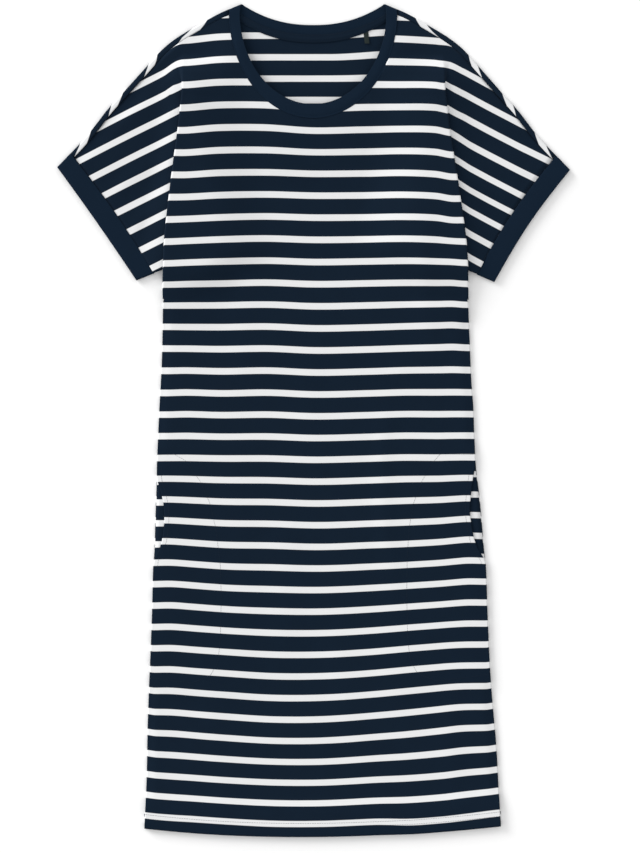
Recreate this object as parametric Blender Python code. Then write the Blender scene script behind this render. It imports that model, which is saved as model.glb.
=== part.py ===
"""Striped jersey nightshirt with cut-on short sleeves, laid flat on its back.

Metres, +Z up. The origin is on the surface under the middle of the garment, +Y points to the neck
and +X to the right of somebody who looks down on it. Inside this file lengths are in millimetres:
x is the distance from the centre line, and drop is the distance down from the neck points.
"""

import math

import bmesh
import bpy
from mathutils import Vector

MM = 0.001
LENGTH = 999.0            # neck points to the middle of the hem
CLOTH = 1.2               # thickness of one layer of jersey with its loft
DOUBLED = 1.8             # thickness of the doubled bands
TAPE = 1.0                # thickness of the neck tape and the tab
GAP = 0.3                 # air between pieces that are sewn together
STEP = CLOTH + GAP        # from the middle of one layer to the middle of the next
LOFT = 2.7                # from the back layer to the front layer where nothing lies between them
BACK_Z = CLOTH / 2        # middle of the back where it rests
FRONT_Z = BACK_Z + LOFT   # middle of the front

# The lower body lies a little to the right, so its right side sits a little higher. The sleeves
# don't lie quite level either.
LEAN = (  # drop, how far the centre line lies to the right
    (0, -1.7), (60, -1.6), (150, -1.6), (200, -1.0), (343, 1.1), (430, 2.0), (545, 1.6), (585, 3.2),
    (631, 4.6), (674, 6.0), (804, 6.5), (854, 7.5), (904, 9.0), (990, 9.8),
)
TILT, TILT_FROM, TILT_OVER = 0.0138, 515.0, 300.0
SLEEVE_TILT, SLEEVE_TILT_FROM, SLEEVE_TILT_OVER = 0.005, 100.0, 150.0

# The middle of each row hangs lower than its ends.
SAG = (  # drop, sag at the centre line
    (547, 0.0), (649, 9.0), (751, 13.5), (860, 16.5), (920, 14.5), (987, 12.0),
)
HEM_DROP = LENGTH - SAG[-1][1]
HEM_DEPTH = 17.0
HEM_TURN = 0.75           # radius of the turned edge, at the middle of the layer

SIDE = (  # drop, half width of the body
    (354, 183.0), (430, 185.4), (480, 187.8), (552, 190.9), (602, 194.4), (653, 197.6), (676, 199.8),
    (732, 201.5), (804, 204.6), (883, 209.2), (933, 211.2), (990, 214.2),
)
CREST = (  # drop, half width to the folded edge at the armhole
    (43, 156.0), (97, 157.6), (125, 160.7), (150, 163.5), (182, 168.2), (214, 172.8),
    (256, 178.3), (281, 181.2), (310, 182.8), (354, 183.0),
)
SHOULDER = (  # x, drop of the rolled edge, from the neck to the sleeve band
    (97, 4.5), (114, 12), (139, 26), (163, 40.5), (181, 55), (201, 77), (226, 105),
    (246, 127), (263, 149), (278, 166.5), (291, 180.5),
)
SEAM_INSET = 6.0          # the shoulder seam lies this far inside the rolled edge
ROLL = LOFT / 2           # radius of the rolled shoulder
CREST_AT = 0.295          # where along the shoulder the armhole fold would end

# The fold at the armhole: how far the cloth turns at each bend, and the flat stretch between bends.
FOLD = (  # drop, turn in degrees, flat length, length of each bend
    (43, 0, 8.0, 3.4), (62, 0, 6.0, 3.4), (74, 20, 3.0, 3.0), (86, 60, 1.5, 2.8), (98, 115, 1.2, 2.7),
    (110, 160, 2.2, 3.0), (127, 180, 6.2, 3.46), (354, 180, 60.0, 3.46),
)
BEND = 1.1                # radius of a closed bend, at the middle of the layer
FOLD_APEX = 100.7         # drop where the hidden cloth begins
VALLEY_RISE = 0.23        # the hidden bend runs up this much faster than the folded edge
UNDERARM = 354.0          # drop where the folded edge becomes the side seam
SLEEVE_LEAVES = 318.0     # drop where the sleeve's lower seam comes out from under the body
SLEEVE_SETTLES = 45.0     # the sleeve comes down to the surface over this length
CUFF_BOTTOM = (194.0, 322.7)   # lower end of the seam between the sleeve and its band
PLATEAU, SLOPE = 6.0, 75.0     # the front stays high over the fold, then comes down over SLOPE
CREST_SETTLES = 46.0      # below the underarm the front comes down over this length
SEAM_SETTLES = 36.0       # and its side seam over this one
SEAM_EASE = 12.0          # the front comes down to its side seam over this width
SLEEVE_SEAM_EASE = 16.0   # and to the sleeve's lower seam over this one

NECK_DROP = 10.0          # centre of the neckline's ellipses
NECK_SEAM = (101.0, 127.0)     # half width and depth of the front neck seam
NECK_FREE = (88.0, 110.0)      # half width and depth of the band's free edge
NECK_LIFT = 4.2           # the front neckline stands this much higher than the front
NECK_SPREAD = 80.0        # the lift has gone this far from the neckline
NECK_LIFT_FROM, NECK_LIFT_OVER = 12.0, 50.0   # it grows over this stretch below the shoulder
NECK_LIFT_SIDE = 60.0     # and fades towards the armhole over this width
NECK_ROLL = 1.8           # radius of the band where it rolls over the shoulder
BACK_SEAM = (101.0, 41.6, 7.0)   # half width, drop at the centre, drop at the shoulder
BACK_FREE = (83.6, 24.5, 0.9)
BACK_POWER = 2.25
TAPE_ABOVE, TAPE_BELOW, TAPE_HALF = 5.6, 4.1, 95.0
TAPE_ROWS = 20
TAPE_Z = DOUBLED + 1.3 * GAP + TAPE / 2   # it clears the band where that starts to roll

TAB_X, TAB_WIDTH, TAB_END = 63.4, 5.6, 46.8   # it hangs from the tape's lower edge
TAB_LEAN = 1.4            # its lower end lies this much further out

CUFF_OUTER_TOP = (306.0, 196.0)
CUFF_OUTER_BOTTOM = (215.4, 331.6)
RIGHT, LEFT = 1, -1
CUFF_BOW = {RIGHT: (5.2, 3.6), LEFT: (0.0, -0.6)}   # how far its seam and its edge are drawn in halfway

MOUTH = {  # drop, how far the front's edge is cut back at the pocket
    RIGHT: ((548, 0), (560, 2.5), (568, 5.2), (584, 9.0), (601, 12.4), (616, 13.2), (637, 11.4), (650, 8.6),
            (663, 2.6), (669, 0)),
    LEFT: ((566, 0), (575, 1.8), (591, 7.2), (600, 9.3), (615, 10.9), (625, 10.6), (641, 9.0), (651, 6.4),
           (662, 1.8), (668, 0)),
}
BAG = (  # drop, half width to the pocket bag's inner edge
    (543, 168), (552, 146), (571, 133), (596, 122), (623, 116), (660, 112), (700, 111), (750, 112),
    (778, 115), (795, 124), (806, 146),
)
BAG_EDGE = 0.6            # the bag ends this far inside the side seam
BAG_SHIFT = 6.0           # both bags lie this far to the left of where they mirror each other
BAG_LIFT = 0.6            # the front is lifted this much over a bag
BAG_FADE = (24.0, 18.0)   # the lift starts this far before the bag and takes this length
BAG_INSIDE = (60.0, 40.0) # across, it starts this far from the centre line and takes this width
HEM_FADE = (34.0, 30.0)   # the front starts to rise this far above the hem and takes this length

ROWS = (58, 68, 77, 86, 95, 104, 115, 128, 142, 158, 176, 196, 225, 260, 290, 306, 320, 332, 343, 354)
NECK_ROWS = 15            # the first rows end on the neckline, the last of them at its lowest point
FRONT_LOW_ROWS = (362, 374, 390, 420, 470, 515, 540, 552, 566, 578, 592, 606, 620, 634, 648, 660, 672,
                  710, 760, 806, 832, 870, 915, 945, 960)
BACK_LOW_ROWS = (400, 480, 560, 640, 720, 800, 880, 940)
COLUMNS = (0, 0.02, 0.05, 0.1, 0.2, 0.34, 0.5, 0.75, 1.0)
BACK_COLUMNS = tuple(k / 8 for k in range(9))
SHOULDER_ROWS = 3         # rows between the neck and the armhole fold
BACK_NECK_ROWS = 6        # the back's rows straighten from the neck curve over this many rows
FRONT, BACK = "front", "back"
FOLD_STEPS = {FRONT: 4, BACK: 3}   # flats round each bend of the armhole fold
SLEEVE_COLUMNS = (0.12, 0.26, 0.4, 0.54, 0.68, 0.84, 1.0)

NAVY = (0.012, 0.014, 0.035, 1.0)
TRIM_NAVY = (0.014, 0.018, 0.045, 1.0)
CHARCOAL = (0.03, 0.03, 0.035, 1.0)
CLOTH_ROUGHNESS = 0.85


def smooth(t):
    """An S-shaped step from 0 to 1."""
    t = min(1.0, max(0.0, t))
    return t * t * (3 - 2 * t)


def read(table, key, column=1):
    """A table's value at key, on straight lines between its rows."""
    if key <= table[0][0]:
        return table[0][column]
    for low, high in zip(table, table[1:]):
        if key <= high[0]:
            t = (key - low[0]) / (high[0] - low[0])
            return low[column] + (high[column] - low[column]) * t
    return table[-1][column]


def curve(table, key):
    """A table's value at key on a smooth curve through its rows."""
    if key <= table[0][0] or key >= table[-1][0]:
        return table[0][1] if key <= table[0][0] else table[-1][1]
    i = max(k for k in range(len(table) - 1) if table[k][0] <= key)

    def slope(k):
        a, b = max(0, k - 1), min(len(table) - 1, k + 1)
        return (table[b][1] - table[a][1]) / (table[b][0] - table[a][0])

    span = table[i + 1][0] - table[i][0]
    t = (key - table[i][0]) / span
    return ((2 * t**3 - 3 * t**2 + 1) * table[i][1] + (t**3 - 2 * t**2 + t) * span * slope(i)
            + (3 * t**2 - 2 * t**3) * table[i + 1][1] + (t**3 - t**2) * span * slope(i + 1))


def mix(pair, share):
    """A point between two points."""
    return tuple(a + (b - a) * share for a, b in zip(*pair))


def place(x, drop, z):
    """A point of the garment as it lies: it leans, tilts and sags a little."""
    half = curve(SIDE, drop)
    sag = curve(SAG, drop) * (1 - (x / half) ** 2) if drop > SAG[0][0] else 0.0
    tilt = TILT * x * smooth((drop - TILT_FROM) / TILT_OVER)
    tilt -= SLEEVE_TILT * x * smooth((abs(x) - SLEEVE_TILT_FROM) / SLEEVE_TILT_OVER)
    return Vector(((x + curve(LEAN, drop)) * MM, (LENGTH / 2 - drop - sag + tilt) * MM, z * MM))


def shoulder_lengths():
    """Distance along the rolled shoulder edge up to each of its rows."""
    lengths = [0.0]
    for a, b in zip(SHOULDER, SHOULDER[1:]):
        lengths.append(lengths[-1] + math.dist(a, b))
    return lengths


SHOULDER_LENGTHS = shoulder_lengths()
SHOULDER_LENGTH = SHOULDER_LENGTHS[-1]
SHOULDER_X = [(s, row[0]) for s, row in zip(SHOULDER_LENGTHS, SHOULDER)]
SHOULDER_D = [(s, row[1]) for s, row in zip(SHOULDER_LENGTHS, SHOULDER)]


def shoulder(share, inset):
    """x and drop of the shoulder at a share of its length, moved in from the rolled edge."""
    s = share * SHOULDER_LENGTH
    x, drop = curve(SHOULDER_X, s), curve(SHOULDER_D, s)
    ahead, behind = min(s + 3, SHOULDER_LENGTH - 0.01), max(s - 3, 0.01)
    tx = curve(SHOULDER_X, ahead) - curve(SHOULDER_X, behind)
    td = curve(SHOULDER_D, ahead) - curve(SHOULDER_D, behind)
    length = math.hypot(tx, td)
    return x - td / length * inset, drop + tx / length * inset


def neck_share(inset):
    """Where along the shoulder the line at this inset meets the front neck seam."""
    low, high = 0.0, 0.2
    for _ in range(30):
        middle = (low + high) / 2
        x, drop = shoulder(middle, inset)
        inside = (x / (NECK_SEAM[0] + GAP)) ** 2 + (max(0, drop - NECK_DROP) / NECK_SEAM[1]) ** 2 < 1
        low, high = (middle, high) if inside else (low, middle)
    return high


def neck_point(k, sizes, spare=0.0):
    """The k-th point on one of the front neckline's ellipses, from the shoulder to the lowest point."""
    first = math.asin((shoulder(neck_share(SEAM_INSET), SEAM_INSET)[1] - NECK_DROP) / NECK_SEAM[1])
    turn = first + (math.pi / 2 - first) * k / NECK_ROWS
    return (sizes[0] + spare) * math.cos(turn), NECK_DROP + (sizes[1] + spare) * math.sin(turn)


def back_neck(sizes, x):
    """Drop of one edge of the back neckband at x."""
    half, centre, end = sizes
    return centre - (centre - end) * (abs(x) / half) ** BACK_POWER


def fold_section(drop, share):
    """Outward run and fall of the armhole fold at a share of its three parts: bend, flat, bend."""
    turn, flat, arc = math.radians(read(FOLD, drop, 1)), read(FOLD, drop, 2), read(FOLD, drop, 3)
    steps = ((min(share, 1.0), arc, 1), (min(max(share - 1, 0), 1), flat, 0), (max(share - 2, 0), arc, -1))
    run = fall = 0.0
    angle = 0.0
    for part, length, bend in steps:
        if part <= 0:
            continue
        if bend == 0 or turn < 1e-6:
            run += part * length * math.cos(angle)
            fall += part * length * math.sin(angle)
            continue
        radius = length / turn
        end = angle + bend * part * turn
        run += radius * bend * (math.sin(end) - math.sin(angle))
        fall += radius * bend * (math.cos(angle) - math.cos(end))
        angle = end
    return run, fall


def hidden_width(drop):
    """How far inside the folded edge the hidden cloth reaches at this drop."""
    valley_end = UNDERARM - VALLEY_RISE * (UNDERARM - FOLD_APEX)
    deepest = read(FOLD, UNDERARM, 2)
    return read(((FOLD_APEX, 0), (valley_end, deepest), (UNDERARM, 0)), drop)


def crest_level(drop):
    """Height of the front at the folded edge."""
    fall = fold_section(drop, 3)[1]
    folded = FRONT_Z + 2 * fall
    if drop <= SLEEVE_LEAVES:
        return folded
    closed = BACK_Z + STEP + 4 * BEND
    if drop <= UNDERARM:
        return folded + (closed - folded) * (drop - SLEEVE_LEAVES) / (UNDERARM - SLEEVE_LEAVES)
    return FRONT_Z + (closed - FRONT_Z) * smooth(1 - (drop - UNDERARM) / CREST_SETTLES)


def bag_share(drop):
    """1 where the pocket bag lies in the side seam, easing to 0 beyond its ends."""
    before, over = BAG_FADE
    return smooth((drop - BAG[0][0] + before) / over) * smooth((BAG[-1][0] + before - drop) / over)


def neck_lift(drop):
    """Share of the neckline's lift at a drop."""
    return smooth((drop - NECK_LIFT_FROM) / NECK_LIFT_OVER)


def front_level(x, drop):
    """Height of the front's middle at a place on the body."""
    x = abs(x)
    edge = curve(CREST, drop) if drop <= UNDERARM else curve(SIDE, drop)
    inside = edge - x
    rise = crest_level(drop) - FRONT_Z
    level = FRONT_Z + rise * smooth(1 - (inside - hidden_width(drop) - PLATEAU) / SLOPE)
    ring = math.hypot(x / NECK_SEAM[0], max(0, drop - NECK_DROP) / NECK_SEAM[1])
    near_neck = smooth(1 - (ring - 1) * NECK_SEAM[0] / NECK_SPREAD)
    level += NECK_LIFT * neck_lift(drop) * near_neck * smooth(inside / NECK_LIFT_SIDE)
    over_bag = bag_share(drop)
    level += BAG_LIFT * over_bag * smooth((x - BAG_INSIDE[0]) / BAG_INSIDE[1])
    hem = smooth((drop - HEM_DROP + HEM_DEPTH + HEM_FADE[0]) / HEM_FADE[1])
    level += (BACK_Z + 3 * STEP - FRONT_Z) * hem
    if drop > UNDERARM:
        seam = BACK_Z + STEP + 4 * BEND * smooth(1 - (drop - UNDERARM) / SEAM_SETTLES)
        seam += STEP * over_bag + 2 * STEP * hem
        level = seam + (level - seam) * smooth(inside / SEAM_EASE)
    return level


def drawn_in(point, share, bow):
    """A point of the sleeve band's seam or edge, moved towards the sleeve."""
    (x0, d0), (x1, d1) = shoulder(1.0, 0.0), CUFF_BOTTOM
    length = math.dist((x0, d0), (x1, d1))
    pull = bow * math.sin(math.pi * share) / length
    return point[0] - (d1 - d0) * pull, point[1] + (x1 - x0) * pull


def cuff_seam(share, inset, hand):
    """A point on the seam between the sleeve and its band."""
    return drawn_in(mix((shoulder(1.0, inset), CUFF_BOTTOM), share), share, CUFF_BOW[hand][0])


def side_ends(rows, inset, mouth=None):
    """The outer ends of half the body's rows: down the shoulder, the folded edge and the side seam."""
    start = neck_share(SEAM_INSET)
    ends = [shoulder(start + (CREST_AT - start) * k / SHOULDER_ROWS, inset) for k in range(SHOULDER_ROWS + 1)]
    for drop in rows:
        if drop <= UNDERARM:
            ends.append((curve(CREST, drop) - BEND, drop))
        else:
            ends.append((curve(SIDE, drop) - (curve(mouth, drop) if mouth else 0.0), drop))
    return ends


def front_half(hand):
    """Half of the front: body rows, and the armhole fold with the sleeve."""
    hem = (HEM_DROP - HEM_DEPTH, HEM_DROP - HEM_DEPTH / 2, HEM_DROP - HEM_TURN)
    body = []
    for k, (x0, d0) in enumerate(side_ends(ROWS + FRONT_LOW_ROWS + hem, SEAM_INSET, MOUTH[hand])):
        x1, d1 = neck_point(k, NECK_SEAM, GAP) if k <= NECK_ROWS else (0.0, d0)
        if k == 0:
            x0, d0 = x1, d1
        row = [mix(((x0, d0), (x1, d1)), c) for c in COLUMNS]
        body.append([(x, d, front_level(x, d)) for x, d in row])
    add_hem(body, FRONT)
    return body, sleeve(body, SEAM_INSET, FRONT, hand)


def back_half(hand):
    """Half of the back, with its fold, sleeve and the strip that rolls over the shoulder."""
    hem = (HEM_DROP - HEM_DEPTH, HEM_DROP - HEM_TURN)
    body = []
    for k, (x0, d0) in enumerate(side_ends(ROWS + BACK_LOW_ROWS + hem, ROLL)):
        row = [(x0, d0, BACK_Z)]
        for c in BACK_COLUMNS[1:]:
            x, d = x0 * (1 - c), d0
            if k <= BACK_NECK_ROWS:
                neck_x = BACK_SEAM[0] * (1 - c)
                neck = neck_x, back_neck(BACK_SEAM, neck_x) + GAP
                straight = x, ROWS[BACK_NECK_ROWS - SHOULDER_ROWS - 1]
                x, d = mix((neck, straight), k / BACK_NECK_ROWS)
            row.append((x, d, BACK_Z))
        body.append(row)
    add_hem(body, BACK)
    patch = sleeve(body, ROLL, BACK, hand)
    edge = [row[0] for row in body[:SHOULDER_ROWS]] + patch[0]
    return body, patch, shoulder_roll(edge)


def add_hem(body, side):
    """Turn the last row up inside the garment."""
    inward = 1 if side == BACK else -1
    last = body[-1]
    for angle in (45, 90, 135, 180):
        turn = math.radians(angle)
        out, up = HEM_TURN * math.sin(turn), HEM_TURN * (1 - math.cos(turn)) * inward
        body.append([(x, drop + out, z + up) for x, drop, z in last])
    body.append([(x, drop - HEM_DEPTH + HEM_TURN, z) for x, drop, z in body[-1]])


def fold_rows(body, inset, side):
    """The armhole fold's rows, from the folded edge to the hidden bend where the sleeve begins."""
    bends = FOLD_STEPS[side]
    shares = [k / bends for k in range(1, bends)] + [1, 1.5, 2] + [2 + k / bends for k in range(1, bends + 1)]
    starts = [row[0] for row in body[SHOULDER_ROWS:SHOULDER_ROWS + 1 + len(ROWS)]]
    top = starts[0][1]
    rows = []
    for x0, drop, z0 in starts:
        v = (drop - top) / (UNDERARM - top)
        above, below = max(drop - 2, CREST[0][0]), min(drop + 2, UNDERARM)
        slant = math.atan2(curve(CREST, below) - curve(CREST, above), below - above)
        row = [(x0, drop, z0)]
        for share in shares:
            run, fall = fold_section(drop, share)
            rise = VALLEY_RISE * max(0.0, drop - FOLD_APEX) * min(1.0, max(0.0, share - 1))
            across = x0 + run * math.cos(slant), drop - run * math.sin(slant) * smooth(v / 0.2) - rise
            along = shoulder(CREST_AT + run / SHOULDER_LENGTH, inset)
            x, d = mix((along, across), smooth(v / 0.16))
            level = crest_level(d) if drop > SLEEVE_LEAVES else z0
            row.append((x, d, level - fall if side == FRONT else BACK_Z + fall))
        rows.append((v, drop, row))
    return rows


def sleeve(body, inset, side, hand):
    """The armhole fold, and the sleeve from its hidden bend out to the band."""
    rows = fold_rows(body, inset, side)
    floor = FRONT_Z if side == FRONT else BACK_Z
    first, top_end = rows[0][2][-1][:2], shoulder(1.0, inset)
    first_share = CREST_AT + fold_section(rows[0][1], 3)[0] / SHOULDER_LENGTH
    grid = []
    for v, drop, row in rows:
        valley, end = row[-1], cuff_seam(v, inset, hand)
        hidden = max(0.0, -fold_section(drop, 3)[0])
        for u in SLEEVE_COLUMNS:
            straight = mix((valley[:2], end), u)
            chord = mix((first, top_end), u)
            arc = shoulder(first_share + (1 - first_share) * u, inset)
            x, d = (s + (a - c) * (1 - v) for s, a, c in zip(straight, arc, chord))
            out = math.dist((x, d), valley[:2]) - hidden
            z = floor + (valley[2] - floor) * smooth(1 - out / SLEEVE_SETTLES)
            if side == FRONT:
                from_seam = (1 - v) * math.dist(end, top_end)
                z -= (LOFT - STEP) * smooth(1 - from_seam / SLEEVE_SEAM_EASE) * smooth(u * 3)
            row.append((x, d, z))
        grid.append(row)
    return grid


def shoulder_roll(edge):
    """The strip of the back that rolls over the shoulder and ends at the seam on the front."""
    start = neck_share(SEAM_INSET)
    total = [0.0]
    for a, b in zip(edge, edge[1:]):
        total.append(total[-1] + math.dist(a[:2], b[:2]))
    grid = []
    for point, s in zip(edge, total):
        share = start + (1 - start) * s / total[-1]
        row = [point]
        for angle in (36, 72, 108, 144, 180):
            turn = math.radians(angle)
            row.append((*shoulder(share, ROLL - ROLL * math.sin(turn)), BACK_Z + ROLL * (1 - math.cos(turn))))
        row.append((*shoulder(share, SEAM_INSET - GAP), FRONT_Z))
        grid.append(row)
    return grid


def sheet(name, patches, thickness, material):
    """A cloth wall through grids of points that share their edges."""
    mesh = bmesh.new()
    for grid in patches:
        rows = [[mesh.verts.new(place(*p)) for p in row] for row in grid]
        for upper, lower in zip(rows, rows[1:]):
            for a, b, c, d in zip(upper, upper[1:], lower[1:], lower):
                mesh.faces.new((a, b, c, d))
    bmesh.ops.remove_doubles(mesh, verts=mesh.verts, dist=1e-6)
    bmesh.ops.dissolve_degenerate(mesh, edges=mesh.edges, dist=1e-7)
    bmesh.ops.recalc_face_normals(mesh, faces=mesh.faces)
    data = bpy.data.meshes.new(name)
    mesh.to_mesh(data)
    mesh.free()
    data.materials.append(material)
    data.shade_smooth()
    data.set_sharp_from_angle(angle=math.radians(60))
    piece = bpy.data.objects.new(name, data)
    bpy.context.collection.objects.link(piece)
    wall = piece.modifiers.new("Wall", "SOLIDIFY")
    wall.thickness = thickness * MM
    wall.offset = 0.0
    return piece


def finish(name, colour):
    """A plain matte cloth."""
    material = bpy.data.materials.new(name)
    material.use_nodes = True
    shader = material.node_tree.nodes["Principled BSDF"]
    shader.inputs["Base Color"].default_value = colour
    shader.inputs["Roughness"].default_value = CLOTH_ROUGHNESS
    shader.inputs["Metallic"].default_value = 0.0
    return material


def mirrored(grid):
    """The same grid on the other side of the centre line."""
    return [[(-x, drop, z) for x, drop, z in row] for row in grid]


def both(half):
    """A half made for the right, and one made for the left and mirrored."""
    return list(half(RIGHT)) + [mirrored(grid) for grid in half(LEFT)]


def neckband(hand):
    """Half of the neckband's ring as rows of points from its sewn edge to its free edge."""
    rows = []
    across = (0.0, 0.5, 1.0)
    for c in BACK_COLUMNS[:0:-1]:
        seam, free = BACK_SEAM[0] * (1 - c), BACK_FREE[0] * (1 - c)
        pair = ((seam, back_neck(BACK_SEAM, seam)), (free, back_neck(BACK_FREE, free)))
        rows.append([(*mix(pair, c), DOUBLED / 2) for c in across])
    pair = (BACK_SEAM[0] - 0.5, BACK_SEAM[2] + 1.5), (BACK_FREE[0], BACK_FREE[2])
    width = math.dist(*pair)
    up_x, up_d = (pair[0][1] - pair[1][1]) / width, (pair[1][0] - pair[0][0]) / width
    for k in range(6):
        turn = math.pi * k / 5
        out = NECK_ROLL * math.sin(turn)
        z = DOUBLED / 2 + NECK_ROLL * (1 - math.cos(turn))
        rows.append([(x + up_x * out, d + up_d * out, z) for x, d in (mix(pair, c) for c in across)])
    shoulder_z = DOUBLED / 2 + 2 * NECK_ROLL
    for k in range(NECK_ROWS + 1):
        pair = neck_point(k, NECK_SEAM), neck_point(k, NECK_FREE)
        z = shoulder_z + (FRONT_Z + NECK_LIFT - shoulder_z) * neck_lift(pair[0][1])
        rows.append([(*mix(pair, c), z) for c in across])
    return [rows]


def neck_tape():
    """The tape over the inside of the back neck seam."""
    rows = []
    for k in range(TAPE_ROWS + 1):
        x = TAPE_HALF * (2 * k / TAPE_ROWS - 1)
        drop = back_neck(BACK_SEAM, x)
        rows.append([(x, drop - TAPE_ABOVE, TAPE_Z), (x, drop + TAPE_BELOW, TAPE_Z)])
    return rows


def neck_tab():
    """The short tab that hangs from the tape's lower edge over the back."""
    rows = []
    for t in (0, 0.25, 0.5, 0.75, 1):
        row = []
        for side in (-1, 0, 1):
            x = TAB_X + side * TAB_WIDTH / 2
            top = back_neck(BACK_SEAM, x) + TAPE_BELOW + GAP
            row.append((x + TAB_LEAN * t, top + (TAB_END - top) * t, CLOTH + GAP + TAPE / 2))
        rows.append(row)
    return rows


def cuff(hand):
    """A flattened ring for a sleeve band, as rows from the sleeve out."""
    ends = [(shoulder(1.0, 0.0), CUFF_BOTTOM), (CUFF_OUTER_TOP, CUFF_OUTER_BOTTOM)]
    radius = LOFT / 2
    width = math.dist(ends[0][0], ends[1][0])
    rows = []
    for share in (GAP / width, 0.33, 0.67, 1.0):
        top, bottom = (mix((ends[0][i], ends[1][i]), share) for i in (0, 1))
        length = math.dist(top, bottom)
        dx, dd = (bottom[0] - top[0]) / length, (bottom[1] - top[1]) / length
        row = []
        turns = [math.radians(30 * k) for k in range(1, 6)]
        bend = [(radius - radius * math.sin(a), radius * math.cos(a)) for a in turns]
        flat = [radius + (length - 2 * radius) * k / 8 for k in range(9)]
        loop = [(s, radius) for s in reversed(flat)] + bend
        loop += [(s, -radius) for s in flat] + [(length - s, -up) for s, up in bend]
        bow = mix(((CUFF_BOW[hand][0],), (CUFF_BOW[hand][1],)), share)[0]
        for s, up in loop + loop[:1]:
            x, drop = drawn_in((top[0] + dx * s, top[1] + dd * s), s / length, bow)
            row.append((x, drop, DOUBLED / 2 + radius + up))
        rows.append(row)
    return rows


def pocket(side):
    """A pocket bag: one layer between the front and the back. side is 1 on the right."""
    rows = []
    for drop, inner in BAG:
        outer = curve(SIDE, drop) - BAG_EDGE
        start = inner - side * BAG_SHIFT
        rows.append([(side * (outer + (start - outer) * c), drop, BACK_Z + STEP) for c in (0, 0.33, 0.67, 1)])
    return rows


def build():
    for item in list(bpy.data.objects):
        bpy.data.objects.remove(item, do_unlink=True)
    stripes = finish("striped_jersey", NAVY)
    trim = finish("navy_trim", TRIM_NAVY)
    dark = finish("charcoal_tab", CHARCOAL)
    sheet("front", both(front_half), CLOTH, stripes)
    sheet("back", both(back_half), CLOTH, stripes)
    sheet("neckband", both(neckband), DOUBLED, trim)
    sheet("neck_tape", [neck_tape()], TAPE, trim)
    sheet("neck_tab", [neck_tab()], TAPE, dark)
    sheet("cuff_right", [cuff(RIGHT)], DOUBLED, trim)
    sheet("cuff_left", [mirrored(cuff(LEFT))], DOUBLED, trim)
    sheet("pocket_right", [pocket(RIGHT)], CLOTH, stripes)
    sheet("pocket_left", [pocket(LEFT)], CLOTH, stripes)


build()
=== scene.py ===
# %% [markdown]
# # A striped nightshirt, laid flat
#
# The real thing is a knee-length nightshirt in thin cotton jersey. It lies on its back on a white
# surface and the camera looks straight down. Everything that the photograph shows comes from flat
# pieces of cloth: a front, a back, two sleeves that are cut in one with them, a neckband, two sleeve
# bands, a tape, a small tab and two pocket bags. So this file makes thin sheets, not blocks.
#
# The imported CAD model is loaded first. It gives the frame: metres, +Z up, +Y to the neck.

import math

import bmesh
import bpy
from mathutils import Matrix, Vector


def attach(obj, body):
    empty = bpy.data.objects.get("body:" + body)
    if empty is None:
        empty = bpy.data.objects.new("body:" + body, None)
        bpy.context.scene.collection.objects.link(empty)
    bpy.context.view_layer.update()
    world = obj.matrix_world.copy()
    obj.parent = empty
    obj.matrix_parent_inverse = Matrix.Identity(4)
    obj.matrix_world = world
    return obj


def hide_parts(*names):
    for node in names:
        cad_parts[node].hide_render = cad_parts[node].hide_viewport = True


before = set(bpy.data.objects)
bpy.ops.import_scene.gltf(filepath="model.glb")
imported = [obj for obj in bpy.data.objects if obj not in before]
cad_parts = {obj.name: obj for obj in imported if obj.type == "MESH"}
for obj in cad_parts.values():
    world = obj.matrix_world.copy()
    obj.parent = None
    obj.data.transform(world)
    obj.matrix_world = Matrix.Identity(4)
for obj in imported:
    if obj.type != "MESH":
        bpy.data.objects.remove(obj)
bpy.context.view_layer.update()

# %% [markdown]
# ## Camera
#
# A catalogue picture of a flat garment is taken from straight above with a long lens, so that nothing
# looks bigger at the edges. One pixel of the photograph is 1.2 mm on the cloth. A camera 4 m up needs
# a lens that takes in 853 pixels, 1.02 m, on the long side of its sensor.

# %% Camera
MM = 0.001
PIXEL = 1.2
HEIGHT_PIXELS = 853
ABOVE = 4000.0
SENSOR = 36.0
camera_data = bpy.data.cameras.new("camera above")
camera_data.sensor_width = SENSOR
camera_data.lens = SENSOR * ABOVE / (HEIGHT_PIXELS * PIXEL)
camera = bpy.data.objects.new("camera above", camera_data)
camera.location = (6.6 * MM, -7.3 * MM, (ABOVE + 6.0) * MM)
bpy.context.scene.collection.objects.link(camera)
bpy.context.scene.camera = camera
bpy.context.scene.view_settings.view_transform = "Standard"
print("lens", round(camera_data.lens, 1), "mm")

# %% [markdown]
# ## The language of the measures
#
# A dressmaker measures a garment from its centre line and from its neck points. The same is done here:
# x is the distance from the centre line in millimetres, drop is the distance down from the neck points.
# Long curves are kept as short tables of measured places. Two helpers read such a table: read goes in
# straight lines, curve goes smoothly through the rows.


# %% Helpers that read the measures
def smooth(t):
    """An S-shaped step from 0 to 1."""
    t = min(1.0, max(0.0, t))
    return t * t * (3 - 2 * t)


def read(table, key, column=1):
    """A table's value at key, on straight lines between its rows."""
    if key <= table[0][0]:
        return table[0][column]
    for low, high in zip(table, table[1:]):
        if key <= high[0]:
            t = (key - low[0]) / (high[0] - low[0])
            return low[column] + (high[column] - low[column]) * t
    return table[-1][column]


def stretch(table, key):
    """Like read, but the first and last slopes go on beyond the table."""
    if key < table[0][0]:
        low, high = table[0], table[1]
    elif key > table[-1][0]:
        low, high = table[-2], table[-1]
    else:
        return read(table, key)
    return low[1] + (high[1] - low[1]) * (key - low[0]) / (high[0] - low[0])


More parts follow.
